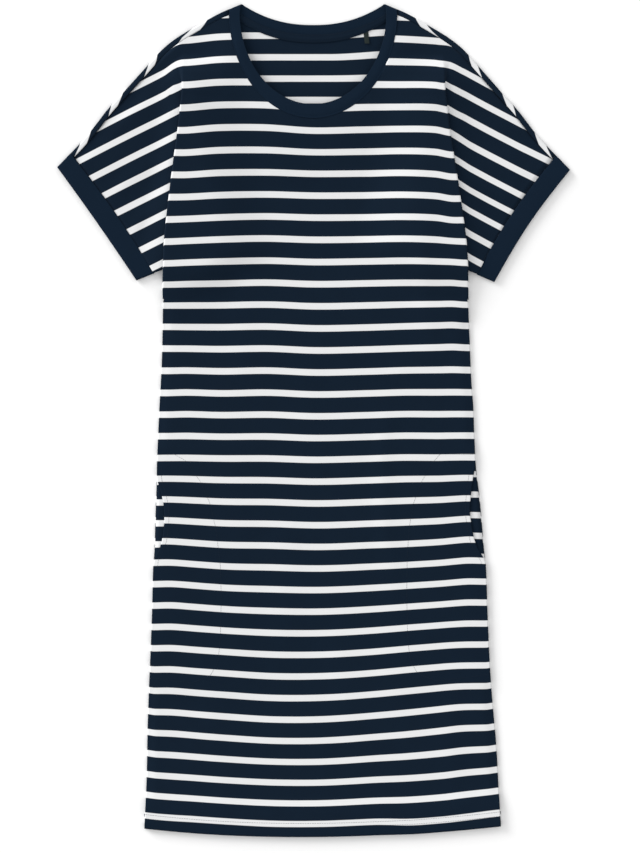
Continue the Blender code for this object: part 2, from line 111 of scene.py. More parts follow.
def curve(table, key):
    """A table's value at key on a smooth curve through its rows."""
    if key <= table[0][0] or key >= table[-1][0]:
        return table[0][1] if key <= table[0][0] else table[-1][1]
    i = max(k for k in range(len(table) - 1) if table[k][0] <= key)

    def slope(k):
        a, b = max(0, k - 1), min(len(table) - 1, k + 1)
        return (table[b][1] - table[a][1]) / (table[b][0] - table[a][0])

    span = table[i + 1][0] - table[i][0]
    t = (key - table[i][0]) / span
    return ((2 * t**3 - 3 * t**2 + 1) * table[i][1] + (t**3 - 2 * t**2 + t) * span * slope(i)
            + (3 * t**2 - 2 * t**3) * table[i + 1][1] + (t**3 - t**2) * span * slope(i + 1))


def mix(pair, share):
    """A point between two points."""
    return tuple(a + (b - a) * share for a, b in zip(*pair))


def steps(start, end, size):
    """Even steps from start to end, none longer than size."""
    count = max(1, math.ceil((end - start) / size - 1e-6))
    return [start + (end - start) * k / count for k in range(count + 1)]


# %% [markdown]
# ## How the garment lies
#
# The photograph shows a body that leans a little to the right and rows that hang lower in the middle
# than at the sides. place turns a dressmaker's x, drop and height into a point in the frame, with that
# lean and sag in one spot, so that every piece follows them. Two places, at the left armhole and at
# the right pocket, lie a millimetre further right, and the hem's right corner hangs a little lower.

# %% Outline of the body, and place
LENGTH = 999.0
LEAN = (  # drop, how far the centre line lies to the right
    (0, -1.7), (60, -1.6), (150, -1.6), (200, -1.0), (343, 1.1), (430, 2.0), (545, 1.6), (585, 3.2),
    (631, 4.6), (674, 6.0), (804, 6.5), (854, 7.5), (904, 9.0), (990, 9.8),
)
TILT, TILT_FROM, TILT_OVER = 0.0138, 515.0, 300.0
SLEEVE_TILT, SLEEVE_TILT_FROM, SLEEVE_TILT_OVER = 0.005, 100.0, 150.0
SAG = ((547, 0.0), (649, 9.0), (751, 13.5), (860, 16.5), (920, 14.5), (987, 12.0))
SIDE = ((354, 183.0), (430, 185.4), (480, 187.8), (552, 190.9), (602, 194.4), (653, 197.6), (676, 199.8),
        (732, 201.5), (804, 204.6), (883, 209.2), (933, 211.2), (990, 214.2))
CREST = ((43, 156.0), (97, 157.6), (125, 160.7), (150, 163.5), (182, 168.2), (214, 172.8),
         (256, 178.3), (281, 181.2), (310, 182.8), (354, 183.0))
SHOULDER = ((97, 4.5), (114, 12), (139, 26), (163, 40.5), (181, 55), (201, 77), (226, 105),
            (246, 127), (263, 149), (278, 166.5), (291, 180.5))
HEM_DROP, HEM_DEPTH, HEM_TURN = LENGTH - SAG[-1][1], 17.0, 0.75
PUSHES = (  # x of the middle, how far right, then drop and length of its start and of its end
    (-165, 1.5, (70, 40), (345, 40)), (190, 1.1, (450, 40), (680, 60)),
)
PUSH_SPREAD = 35
CORNER_SAG, CORNER_X, CORNER_WIDTH, CORNER_DROP, CORNER_RISE = 1.4, 60, 60, 955, 25


def place(x, drop, z):
    """A point of the garment as it lies, in metres."""
    for middle, push, (start, rise), (end, fade) in PUSHES:
        near = math.exp(-((x - middle) / PUSH_SPREAD) ** 2)
        x += push * near * smooth((drop - start) / rise) * smooth((end - drop) / fade)
    half = curve(SIDE, drop)
    sag = curve(SAG, drop) * (1 - (x / half) ** 2) if drop > SAG[0][0] else 0.0
    tilt = TILT * x * smooth((drop - TILT_FROM) / TILT_OVER)
    tilt -= SLEEVE_TILT * x * smooth((abs(x) - SLEEVE_TILT_FROM) / SLEEVE_TILT_OVER)
    sag += CORNER_SAG * smooth((x - CORNER_X) / CORNER_WIDTH) * smooth((drop - CORNER_DROP) / CORNER_RISE)
    return Vector(((x + curve(LEAN, drop)) * MM, (LENGTH / 2 - drop - sag + tilt) * MM, z * MM))


print("hem at", [round(value, 3) for value in place(0, HEM_DROP, 0)])

# %% [markdown]
# ## Layers
#
# One layer of jersey is 1.2 mm with its loft. The back rests on the surface, and the front lies on it
# with a little air between them. Where bags, hems and folds lie between, the front climbs over them.
# These heights are the same as in the CAD solids, because the sheets here stand in for them. RIGHT and
# LEFT are the sides of the picture, and a half of the garment is mirrored by multiplying x by one.

# %% Thicknesses and heights
CLOTH, DOUBLED, GAP, LOFT = 1.2, 1.8, 0.3, 2.7
STEP = CLOTH + GAP
BACK_Z = CLOTH / 2
FRONT_Z = BACK_Z + LOFT
SEAM_INSET, ROLL, BEND = 6.0, LOFT / 2, 1.1
UNDERARM, SLEEVE_LEAVES, SLEEVE_SETTLES = 354.0, 318.0, 45.0
TUCK = 0.7     # cloth runs this far under the edge of a band, so that no gap shows
FRONT, BACK = "front", "back"
RIGHT, LEFT = 1, -1
HANDS = (RIGHT, LEFT)
print("front lies at", FRONT_Z, "mm")

# %% [markdown]
# ## Shoulder line
#
# The back is cut a little long at the shoulder and rolls forward over it, so the seam lies on the front
# 6 mm inside the folded edge. shoulder gives a point at a share of the shoulder's length, moved in from
# that edge by any distance.


# %% Shoulder
def shoulder_lengths():
    """Distance along the rolled shoulder edge up to each of its rows."""
    lengths = [0.0]
    for a, b in zip(SHOULDER, SHOULDER[1:]):
        lengths.append(lengths[-1] + math.dist(a, b))
    return lengths


SHOULDER_LENGTHS = shoulder_lengths()
SHOULDER_LENGTH = SHOULDER_LENGTHS[-1]
SHOULDER_X = [(s, row[0]) for s, row in zip(SHOULDER_LENGTHS, SHOULDER)]
SHOULDER_D = [(s, row[1]) for s, row in zip(SHOULDER_LENGTHS, SHOULDER)]


def shoulder(share, inset):
    """x and drop of the shoulder at a share of its length, moved in from the rolled edge."""
    s = share * SHOULDER_LENGTH
    x, drop = curve(SHOULDER_X, s), curve(SHOULDER_D, s)
    ahead, behind = min(s + 3, SHOULDER_LENGTH - 0.01), max(s - 3, 0.01)
    tx = curve(SHOULDER_X, ahead) - curve(SHOULDER_X, behind)
    td = curve(SHOULDER_D, ahead) - curve(SHOULDER_D, behind)
    length = math.hypot(tx, td)
    return x - td / length * inset, drop + tx / length * inset


print("shoulder is", round(SHOULDER_LENGTH), "mm long")

# %% [markdown]
# ## Neckline
#
# The front neckline is half an ellipse, and the back one a flatter curve. Each has a sewn edge and the
# free edge of the band. The front rows of the body start on the sewn edge, so the cloth and the band
# share their corner points and no gap opens between them.

# %% Neckline
NECK_DROP = 10.0
NECK_SEAM, NECK_FREE = (101.0, 127.0), (88.0, 110.0)
BACK_SEAM, BACK_FREE, BACK_POWER = (101.0, 41.6, 7.0), (83.6, 24.5, 0.9), 2.25
NECK_ROWS, SHOULDER_ROWS, BACK_NECK_ROWS = 15, 3, 6


def neck_share(inset):
    """Where along the shoulder the line at this inset meets the front neck seam."""
    low, high = 0.0, 0.2
    for _ in range(30):
        middle = (low + high) / 2
        x, drop = shoulder(middle, inset)
        inside = (x / (NECK_SEAM[0] + GAP)) ** 2 + (max(0, drop - NECK_DROP) / NECK_SEAM[1]) ** 2 < 1
        low, high = (middle, high) if inside else (low, middle)
    return high


NECK_START = neck_share(SEAM_INSET)


def neck_point(k, sizes, spare=0.0):
    """A point on one of the front neckline's ellipses, from the shoulder, 0, to its lowest, 15."""
    first = math.asin((shoulder(NECK_START, SEAM_INSET)[1] - NECK_DROP) / NECK_SEAM[1])
    turn = first + (math.pi / 2 - first) * k / NECK_ROWS
    return (sizes[0] + spare) * math.cos(turn), NECK_DROP + (sizes[1] + spare) * math.sin(turn)


def back_neck(sizes, x):
    """Drop of one edge of the back neckband at x."""
    half, centre, end = sizes
    return centre - (centre - end) * (abs(x) / half) ** BACK_POWER


print("front neckline is", round(neck_point(NECK_ROWS, NECK_SEAM)[1]), "mm deep")

# %% [markdown]
# ## The fold at the armhole
#
# The sleeves are cut in one with the body, so laying them down makes a flat Z fold along each armhole:
# the front turns under at a crest, runs back to a hidden bend, and turns out again as the sleeve. It
# opens gradually towards the shoulder. The table says how far the cloth turns at each height, and
# fold_section walks along bend, flat and bend to give the run and the fall.

# %% Armhole fold
FOLD = (  # drop, turn in degrees, flat length, length of each bend
    (43, 0, 8.0, 3.4), (62, 0, 6.0, 3.4), (74, 20, 3.0, 3.0), (86, 60, 1.5, 2.8), (98, 115, 1.2, 2.7),
    (110, 160, 2.2, 3.0), (127, 180, 6.2, 3.46), (354, 180, 60.0, 3.46),
)
CREST_AT, FOLD_APEX, VALLEY_RISE = 0.295, 100.7, 0.23


def fold_section(drop, share):
    """Outward run and fall of the armhole fold at a share of its three parts: bend, flat, bend."""
    turn, flat, arc = math.radians(read(FOLD, drop, 1)), read(FOLD, drop, 2), read(FOLD, drop, 3)
    parts = ((min(share, 1.0), arc, 1), (min(max(share - 1, 0), 1), flat, 0), (max(share - 2, 0), arc, -1))
    run = fall = 0.0
    angle = 0.0
    for part, length, bend in parts:
        if part <= 0:
            continue
        if bend == 0 or turn < 1e-6:
            run += part * length * math.cos(angle)
            fall += part * length * math.sin(angle)
            continue
        radius = length / turn
        end = angle + bend * part * turn
        run += radius * bend * (math.sin(end) - math.sin(angle))
        fall += radius * bend * (math.cos(angle) - math.cos(end))
        angle = end
    return run, fall


def hidden_width(drop):
    """How far inside the folded edge the hidden cloth reaches at this drop."""
    valley_end = UNDERARM - VALLEY_RISE * (UNDERARM - FOLD_APEX)
    return read(((FOLD_APEX, 0), (valley_end, read(FOLD, UNDERARM, 2)), (UNDERARM, 0)), drop)


print("fold is", round(hidden_width(290)), "mm deep near the underarm")

# %% [markdown]
# ## Height of the front
#
# The front is highest over the armhole folds and round the neckline, and comes down to its side seams.
# It also climbs a little over the pocket bags and the turned hem. front_level adds these up.

# %% Height of the front
PLATEAU, SLOPE, CREST_SETTLES, SEAM_SETTLES = 6.0, 75.0, 46.0, 36.0
SEAM_EASE, SLEEVE_SEAM_EASE = 12.0, 16.0
NECK_LIFT, NECK_SPREAD, NECK_LIFT_FROM, NECK_LIFT_OVER, NECK_LIFT_SIDE = 4.2, 80.0, 12.0, 50.0, 60.0
BAG = ((543, 168), (552, 146), (571, 133), (596, 122), (623, 116), (660, 112), (700, 111), (750, 112),
       (778, 115), (795, 124), (806, 146))
BAG_EDGE, BAG_SHIFT, BAG_LIFT, BAG_FADE, BAG_INSIDE = 0.6, 6.0, 0.6, (24.0, 18.0), (60.0, 40.0)
HEM_FADE = (34.0, 30.0)


def crest_level(drop):
    """Height of the front at the folded edge."""
    folded = FRONT_Z + 2 * fold_section(drop, 3)[1]
    if drop <= SLEEVE_LEAVES:
        return folded
    closed = BACK_Z + STEP + 4 * BEND
    if drop <= UNDERARM:
        return folded + (closed - folded) * (drop - SLEEVE_LEAVES) / (UNDERARM - SLEEVE_LEAVES)
    return FRONT_Z + (closed - FRONT_Z) * smooth(1 - (drop - UNDERARM) / CREST_SETTLES)


def bag_share(drop):
    """1 where the pocket bag lies in the side seam, easing to 0 beyond its ends."""
    before, over = BAG_FADE
    return smooth((drop - BAG[0][0] + before) / over) * smooth((BAG[-1][0] + before - drop) / over)


def neck_lift(drop):
    """Share of the neckline's lift at a drop."""
    return smooth((drop - NECK_LIFT_FROM) / NECK_LIFT_OVER)


def front_level(x, drop):
    """Height of the front's middle at a place on the body."""
    x = abs(x)
    inside = (curve(CREST, drop) if drop <= UNDERARM else curve(SIDE, drop)) - x
    rise = crest_level(drop) - FRONT_Z
    level = FRONT_Z + rise * smooth(1 - (inside - hidden_width(drop) - PLATEAU) / SLOPE)
    ring = math.hypot(x / NECK_SEAM[0], max(0, drop - NECK_DROP) / NECK_SEAM[1])
    near_neck = smooth(1 - (ring - 1) * NECK_SEAM[0] / NECK_SPREAD)
    level += NECK_LIFT * neck_lift(drop) * near_neck * smooth(inside / NECK_LIFT_SIDE)
    over_bag = bag_share(drop)
    level += BAG_LIFT * over_bag * smooth((x - BAG_INSIDE[0]) / BAG_INSIDE[1])
    hem = smooth((drop - HEM_DROP + HEM_DEPTH + HEM_FADE[0]) / HEM_FADE[1])
    level += (BACK_Z + 3 * STEP - FRONT_Z) * hem
    if drop > UNDERARM:
        seam = BACK_Z + STEP + 4 * BEND * smooth(1 - (drop - UNDERARM) / SEAM_SETTLES)
        seam += STEP * over_bag + 2 * STEP * hem
        level = seam + (level - seam) * smooth(inside / SEAM_EASE)
    return level


print("front over the fold", round(front_level(170, 300), 1), "mm")
print("front in the middle", round(front_level(0, 300), 1), "mm")

# %% [markdown]
# ## Stripes
#
# The stripes are knitted in, so they belong to the cloth and bend where it bends. A picture of stripes
# laid over the model would ignore the folds. Instead every point of the cloth is told how many repeats
# down the knitting it is: whole numbers are the middles of the white stripes. On the body this comes
# from the drop, with the small drifts seen in the photograph. DRIFT's outermost places lie off the
# body above the underarm, so most of them repeat their neighbour there. The sleeves are turned down by
# 27 degrees, so their stripes slope.

# %% Stripe count on the body
REPEAT = 26.28
FIRST_STRIPE = 151.7
DRIFT_X = (-200, -178, -154, -112, -58, 0, 62, 104, 146, 164, 178, 200)
DRIFT = (  # drop, and how far each place along DRIFT_X is ahead of an even repeat
    (40, (3.3, 3.3, 3.3, 7.4, 7.7, 6, 5.6, 4.8, 2.9, 1, 1, 1)),
    (95, (1.2, 1.2, 1.2, 4.9, 5, 0.8, 2.5, 2.2, 1.3, -2.2, -2.2, -2.2)),
    (150, (-0.4, -0.4, -0.4, 3.1, 3.5, -0.2, 1, 1.6, 0.7, -2.7, -2.7, -2.7)),
    (200, (-1.2, -1.2, -1.2, 1.6, 2.6, 0.8, 1.2, 1.6, -0.1, -3, -3, -3)),
    (255, (-2.4, -2.4, -1.5, 0.6, 2.2, 0.8, 1.1, 1.4, 0.2, -2.4, -2.4, -2.4)),
    (310, (-2.5, -2.5, -1.2, 0.4, 1.7, 0, 0.8, 1.3, 0.5, 0.1, -0.8, -0.8)),
    (390, (0.7, 0.7, 0.7, 0.7, 1.4, -0.8, 0.3, 1.6, 2.9, 3.6, 2.9, 2.9)),
    (470, (0, 0.1, 0.9, 0, 0.9, -1.3, 0, 1.2, 1.4, 1.7, 1.7, 1.7)),
    (545, (0.3, 0.9, 1.2, 0.7, 0.7, -0.9, 0.5, 1.8, 1.8, 2.3, 2.6, 2.5)),
    (640, (-2.6, -0.7, -0.4, -0.6, 0.3, -0.9, 0, -0.2, -0.2, 0.4, 0.5, -1.8)),
    (690, (-4, -1.2, -0.6, -0.7, -0.3, -0.8, 0.1, 0.3, -0.1, -0.1, -0.4, -3)),
    (790, (-5.6, -2.5, -1.5, -0.8, -1.6, -1.2, 0.2, 1.1, 0.6, -0.3, -1.7, -4.6)),
    (855, (-6.2, -3.7, -2.7, -2.1, -2.6, -2, -0.1, 0.2, 0.3, 0.2, -0.9, -3.8)),
    (920, (-4, -2.8, -1.9, -1.5, -1.8, -1.6, -0.4, -1.4, -1.9, -1.5, -1.6, -2.5)),
    (970, (-0.8, -0.2, 0.5, 0.4, -0.5, -0.4, 0.1, -1.9, -2.1, -1.7, -1.4, -0.9)),
)
BACK_RISES = 4.2     # the back's stripes rise this much towards the right end of its neckline
BACK_AHEAD = ((0, 9.0), (63, 9.6), (114, 10.9), (200, 8.0), (320, 0.0))
CLOSER, CLOSER_FROM = 1.88e-6, 546   # from this drop on the stripes slowly come closer together


def drift(x, drop):
    """How far the knitting is ahead of an even repeat at a place on the body."""
    return curve([(d, curve(list(zip(DRIFT_X, values)), x)) for d, values in DRIFT], drop)


def body_count(x, drop, side):
    """Which stripe lies here on the body. Whole numbers are the middles of white stripes."""
    down = drop + drift(x, drop) + (curve(SAG, drop) if drop > SAG[0][0] else 0.0)
    if side == BACK:
        down += read(BACK_AHEAD, drop) - drift(x, drop) * smooth((BACK_AHEAD[-1][0] - drop) / 100)
        down += BACK_RISES * smooth((x - 20) / 80) * smooth((110 - drop) / 60)
    return (down - FIRST_STRIPE) / REPEAT + CLOSER * max(0.0, down - CLOSER_FROM) ** 2


print("stripe at the hem", round(body_count(0, HEM_DROP, FRONT), 2))

# %% Stripe count on the sleeves
SLEEVE_STRIPES = {  # drop of each stripe 210 mm from the centre line
    RIGHT: ((69.8, -4), (96.2, -3), (122.8, -2), (151.0, -1), (180.5, 0), (209.0, 1), (235.3, 2),
            (260.2, 3), (288.4, 4), (317, 5)),
    LEFT: ((71.5, -4), (98.0, -3), (124.4, -2), (152.0, -1), (180.2, 0), (208.7, 1), (237.2, 2),
           (266.9, 3), (296.0, 4), (324, 5)),
}
SLEEVE_SLOPE = {  # distance from the centre line, and how much lower a stripe is there than at 210 mm
    RIGHT: ((160, -29), (175, -20.2), (187, -12.6), (211, 0), (247, 18.4), (300, 44)),
    LEFT: ((160, -25.4), (209.3, 0), (247, 19.4), (300, 46.8)),
}
SLEEVE_TURN = math.radians(27)
ACROSS_AT_FOLD = 21.2     # makes the sleeve's and the body's across agree near the top of the fold
# At the top of the right fold the stripes lie lower than the table says.
FOLD_LOWER, FOLD_DROP, FOLD_RISE, FOLD_X, FOLD_WIDTH = 2.4, 150, 20, 188, 18
ROLLED = {  # share of the shoulder, shift of the back's stripes where it rolls over
    RIGHT: ((0, -0.52), (0.26, -0.5), (0.42, -0.19), (0.75, -0.12), (1, -0.22)),
    LEFT: ((0, -0.38), (0.26, -0.52), (0.42, -0.08), (1, -0.07)),
}


def sleeve_count(x, drop):
    """Which stripe lies here on a sleeve."""
    hand = RIGHT if x > 0 else LEFT
    lower = stretch(SLEEVE_SLOPE[hand], abs(x))
    if hand == RIGHT:
        lower += FOLD_LOWER * smooth((FOLD_DROP - drop) / FOLD_RISE) * smooth((FOLD_X - x) / FOLD_WIDTH)
    return stretch(SLEEVE_STRIPES[hand], drop - lower)


def knit(x, drop, side, share):
    """Across and down the knitting in millimetres, from the body's at share 0 to the sleeve's at 1."""
    near = smooth((abs(x) - 150) / 30) * smooth((140 - drop) / 40)
    share = max(near, share)
    body = body_count(x, drop, side)
    if share <= 0:
        return x, body * REPEAT + FIRST_STRIPE
    count = body + (sleeve_count(x, drop) - body) * share
    across = abs(x) * math.cos(SLEEVE_TURN) + drop * math.sin(SLEEVE_TURN) - ACROSS_AT_FOLD
    return x + (math.copysign(across, x) - x) * share, count * REPEAT + FIRST_STRIPE


print("sleeve stripe near the band", round(sleeve_count(270, 183), 2))

# %% [markdown]
# ## Creases
#
# The nightshirt was pressed before it was laid out, so its creases are few, long and very soft. A
# noise texture would put the same wrinkles everywhere. Here each crease is a line with its own ends,
# height and width, as if pushed up with a finger. Some come from the photograph, and the back gets
# similar ones, because nobody lays a back out flatter than a front.

# %% Creases
CREASES = {  # x and drop of both ends, height, width to each side
    FRONT: (
        ((82, 508), (86, 668), 0.9, 11), ((132, 250), (137, 400), 0.8, 13),
        ((-62, 300), (-96, 452), 0.5, 16), ((-30, 610), (-44, 760), 0.5, 18),
        ((20, 742), (52, 905), 0.6, 17), ((-128, 792), (-118, 948), 0.5, 15),
        ((-150, 400), (-60, 424), 0.35, 14), ((30, 208), (112, 232), 0.4, 14),
        ((-104, 176), (-20, 200), 0.4, 15), ((154, 846), (166, 968), 0.6, 13),
        ((-8, 430), (0, 560), 0.35, 15), ((176, 402), (98, 438), 0.4, 12), ((186, 196), (240, 236), 1.3, 9),
        ((196, 244), (228, 286), 1.2, 8), ((178, 128), (238, 150), 0.8, 11),
        ((-184, 190), (-238, 226), 1.1, 10), ((-196, 248), (-226, 290), 1.0, 8),
        ((-176, 120), (-232, 146), 0.7, 11), ((214, 176), (276, 214), 0.6, 12),
        ((-216, 180), (-268, 210), 0.6, 11),
    ),
    BACK: (
        ((-70, 240), (-92, 430), 0.7, 14), ((64, 300), (52, 486), 0.6, 16),
        ((-20, 470), (-4, 590), 0.5, 14), ((30, 580), (60, 720), 0.6, 15),
        ((-60, 700), (-78, 880), 0.6, 15), ((10, 800), (-6, 930), 0.5, 17), ((-52, 66), (-12, 78), 0.5, 10),
        ((18, 96), (64, 84), 0.4, 12), ((40, 150), (96, 178), 0.5, 15), ((-126, 160), (-60, 186), 0.6, 13),
    ),
}
CREASE_BOW, CREASE_PAST, CREASE_FADE = 5, 0.3, 0.5   # sideways bow, share past its ends, share of fade
FRONT_WAVE, BACK_WAVE = 0.16, 0.06


def crease(x, drop, side):
    """How far the creases lift the cloth here."""
    lift = 0.0
    for (x0, d0), (x1, d1), height, width in CREASES[side]:
        length2 = (x1 - x0) ** 2 + (d1 - d0) ** 2
        t = ((x - x0) * (x1 - x0) + (drop - d0) * (d1 - d0)) / length2
        if -CREASE_PAST < t < 1 + CREASE_PAST:
            bow = math.sin(math.pi * t) * CREASE_BOW
            length = math.sqrt(length2)
            off = ((x - x0) * (d1 - d0) - (drop - d0) * (x1 - x0)) / length + bow
            if abs(off) < 3 * width:
                fade = smooth((t + CREASE_PAST) / CREASE_FADE)
                fade *= smooth((1 + CREASE_PAST - t) / CREASE_FADE)
                lift += height * fade * math.exp(-(off / width) ** 2)
    return lift


def relief(x, drop, side):
    """Creases, and the long slow waves of cloth that is never quite flat."""
    wave = math.sin(x / 23 + drop / 71) * math.sin(drop / 37 - x / 88) + math.sin(x / 57 - drop / 49 + 1.3)
    if side == BACK:
        return crease(x, drop, side) + BACK_WAVE * wave
    quiet = smooth((curve(SIDE, drop) - abs(x)) / 25) if drop > UNDERARM else 1.0
    return crease(x, drop, side) * quiet + FRONT_WAVE * wave * quiet


def front_relief(x, drop):
    """Relief of the front, which lies flat over the turned hem."""
    return relief(x, drop, FRONT) * smooth((HEM_DROP - 8 - drop) / 20)


print("highest crease adds", max(row[2] for rows in CREASES.values() for row in rows), "mm")

# %% [markdown]
# ## Rows and columns
#
# A sheet is a grid: rows go down the body and columns go from the side seam to the centre line. The
# first rows fan out from the neckline to the shoulder and the armhole, and the last of them slants. So
# more rows fan out below it, because one face from there to the first straight row would be 65 mm high
# and would smear the shading of the neckline's edge down the middle. Rows are about 5 mm apart, which
# is fine enough for the soft creases.

# %% Outer ends of the rows
CREST_STATIONS = (58, 68, 77, 86, 95, 104, 115, 128, 142, 158, 176, 196)
MOUTH = {  # drop, how far the front's edge is cut back at the pocket
    RIGHT: ((548, 0), (560, 2.5), (568, 5.2), (584, 9.0), (601, 12.4), (616, 13.2), (637, 11.4), (650, 8.6),
            (663, 2.6), (669, 0)),
    LEFT: ((566, 0), (575, 1.8), (591, 7.2), (600, 9.3), (615, 10.9), (625, 10.6), (641, 9.0), (651, 6.4),
           (662, 1.8), (668, 0)),
}
NECK_STATIONS = steps(0, NECK_ROWS, 1 / 3)
ARM_ROWS = steps(CREST_STATIONS[-1], UNDERARM, 5)[1:]   # drops of the straight rows beside the armhole
COLUMNS = (0, 0.007, 0.015, 0.025, 0.037, 0.05, 0.066, 0.085)
COLUMNS += tuple(0.085 + 0.915 * k / 34 for k in range(1, 35))


def row_end(station, inset):
    """x and drop of a row's outer end, from the neck, 0, along the shoulder, 3, to the armhole."""
    if station <= SHOULDER_ROWS:
        return shoulder(NECK_START + (CREST_AT - NECK_START) * station / SHOULDER_ROWS, inset)
    top_x, top = shoulder(CREST_AT, inset)
    drops = ((SHOULDER_ROWS, top),) + tuple((SHOULDER_ROWS + 1 + k, d) for k, d in enumerate(CREST_STATIONS))
    drop = read(drops, station)
    spare = (top_x - curve(CREST, top) + BEND) * max(0.0, 1 - (station - SHOULDER_ROWS))
    return curve(CREST, drop) - BEND + spare, drop


def side_end(drop, mouth=((0, 0), (1, 0))):
    """x of a row's outer end below the neckline."""
    return curve(CREST, drop) - BEND if drop <= UNDERARM else curve(SIDE, drop) - curve(mouth, drop)


print("rows along the neckline", len(NECK_STATIONS))

# %% [markdown]
# ## Front of the body
#
# Each grid point carries five numbers: x, drop, height, and where it is in the knitting. The last two
# become the UV map, so the stripes stay in the cloth wherever it goes.


# %% Front body
def cloth_point(x, drop, z, side, share=0.0):
    """A grid point with its place in the knitting."""
    return (x, drop, z, *knit(x, drop, side, share))


def add_hem(body, side):
    """Turn the last row up inside the garment."""
    inward = 1 if side == BACK else -1
    last = body[-1]
    for angle in (30, 60, 90, 120, 150, 180):
        turn = math.radians(angle)
        out, up = HEM_TURN * math.sin(turn), HEM_TURN * (1 - math.cos(turn)) * inward
        body.append([(x, drop + out, z + up, u, v + HEM_TURN * turn) for x, drop, z, u, v in last])
    edge = body[-1]
    for back in (6.0, 11.0, HEM_DEPTH - HEM_TURN):
        body.append([(x, drop - back, z, u, v + back) for x, drop, z, u, v in edge])


def front_body(hand):
    """One half of the front, which ends just under the edge of the neckband."""
    body = []
    for station in NECK_STATIONS:
        inner = neck_point(station, NECK_SEAM, -TUCK)
        outer = row_end(station, SEAM_INSET) if station > 0 else inner
        body.append([mix((outer, inner), c) for c in COLUMNS])
    low = ARM_ROWS + steps(UNDERARM, HEM_DROP - HEM_DEPTH, 5)[1:]
    slanting, straight = body[-1], [mix(((side_end(low[0]), low[0]), (0.0, low[0])), c) for c in COLUMNS]
    for t in steps(0, 1, 0.08)[1:-1]:
        body.append([slanting[0]] + [mix(pair, t) for pair in zip(slanting[1:], straight[1:])])
    for drop in low + steps(HEM_DROP - HEM_DEPTH, HEM_DROP - HEM_TURN, 4.5)[1:]:
        body.append([mix(((side_end(drop, MOUTH[hand]), drop), (0.0, drop)), c) for c in COLUMNS])
    grid = []
    for row in body:
        line = []
        for x, drop in row:
            level = front_level(x, drop) + front_relief(hand * x, drop)
            line.append(cloth_point(hand * x, drop, level, FRONT))
        grid.append(line)
    add_hem(grid, FRONT)
    return grid


print("half of the front has", len(COLUMNS), "columns")

# %% [markdown]
# ## Sleeves
#
# A sleeve starts at the crest of the fold, goes through the hidden cloth and comes out to its band. Its
# rows run from the shoulder to the underarm. Between the shoulder's curve and the straight ends of the
# others the rows are blended, as when a flat cloth is pinned at its four sides.

# %% Sleeves with their folds
CUFF_BOTTOM = (194.0, 322.7)
CUFF_BOW = {RIGHT: (5.2, 4.4), LEFT: (3.2, 1.0)}   # how far its seam and its edge are drawn in halfway
SLEEVE_COLUMNS = tuple(k / 26 for k in range(1, 27))
FOLD_SHARES = (0.17, 0.33, 0.5, 0.67, 0.83, 1, 1.2, 1.4, 1.6, 1.8, 2, 2.17, 2.33, 2.5, 2.67, 2.83, 3)


def drawn_in(point, share, bow):
    """A point of the sleeve band's seam or edge, moved towards the sleeve."""
    (x0, d0), (x1, d1) = shoulder(1.0, 0.0), CUFF_BOTTOM
    pull = bow * math.sin(math.pi * share) / math.dist((x0, d0), (x1, d1))
    return point[0] - (d1 - d0) * pull, point[1] + (x1 - x0) * pull


def cuff_seam(share, inset, hand):
    """A point on the seam between the sleeve and its band."""
    x, d = drawn_in(mix((shoulder(1.0, inset), CUFF_BOTTOM), share), share, CUFF_BOW[hand][0])
    return x + TUCK * 0.83, d + TUCK * 0.56


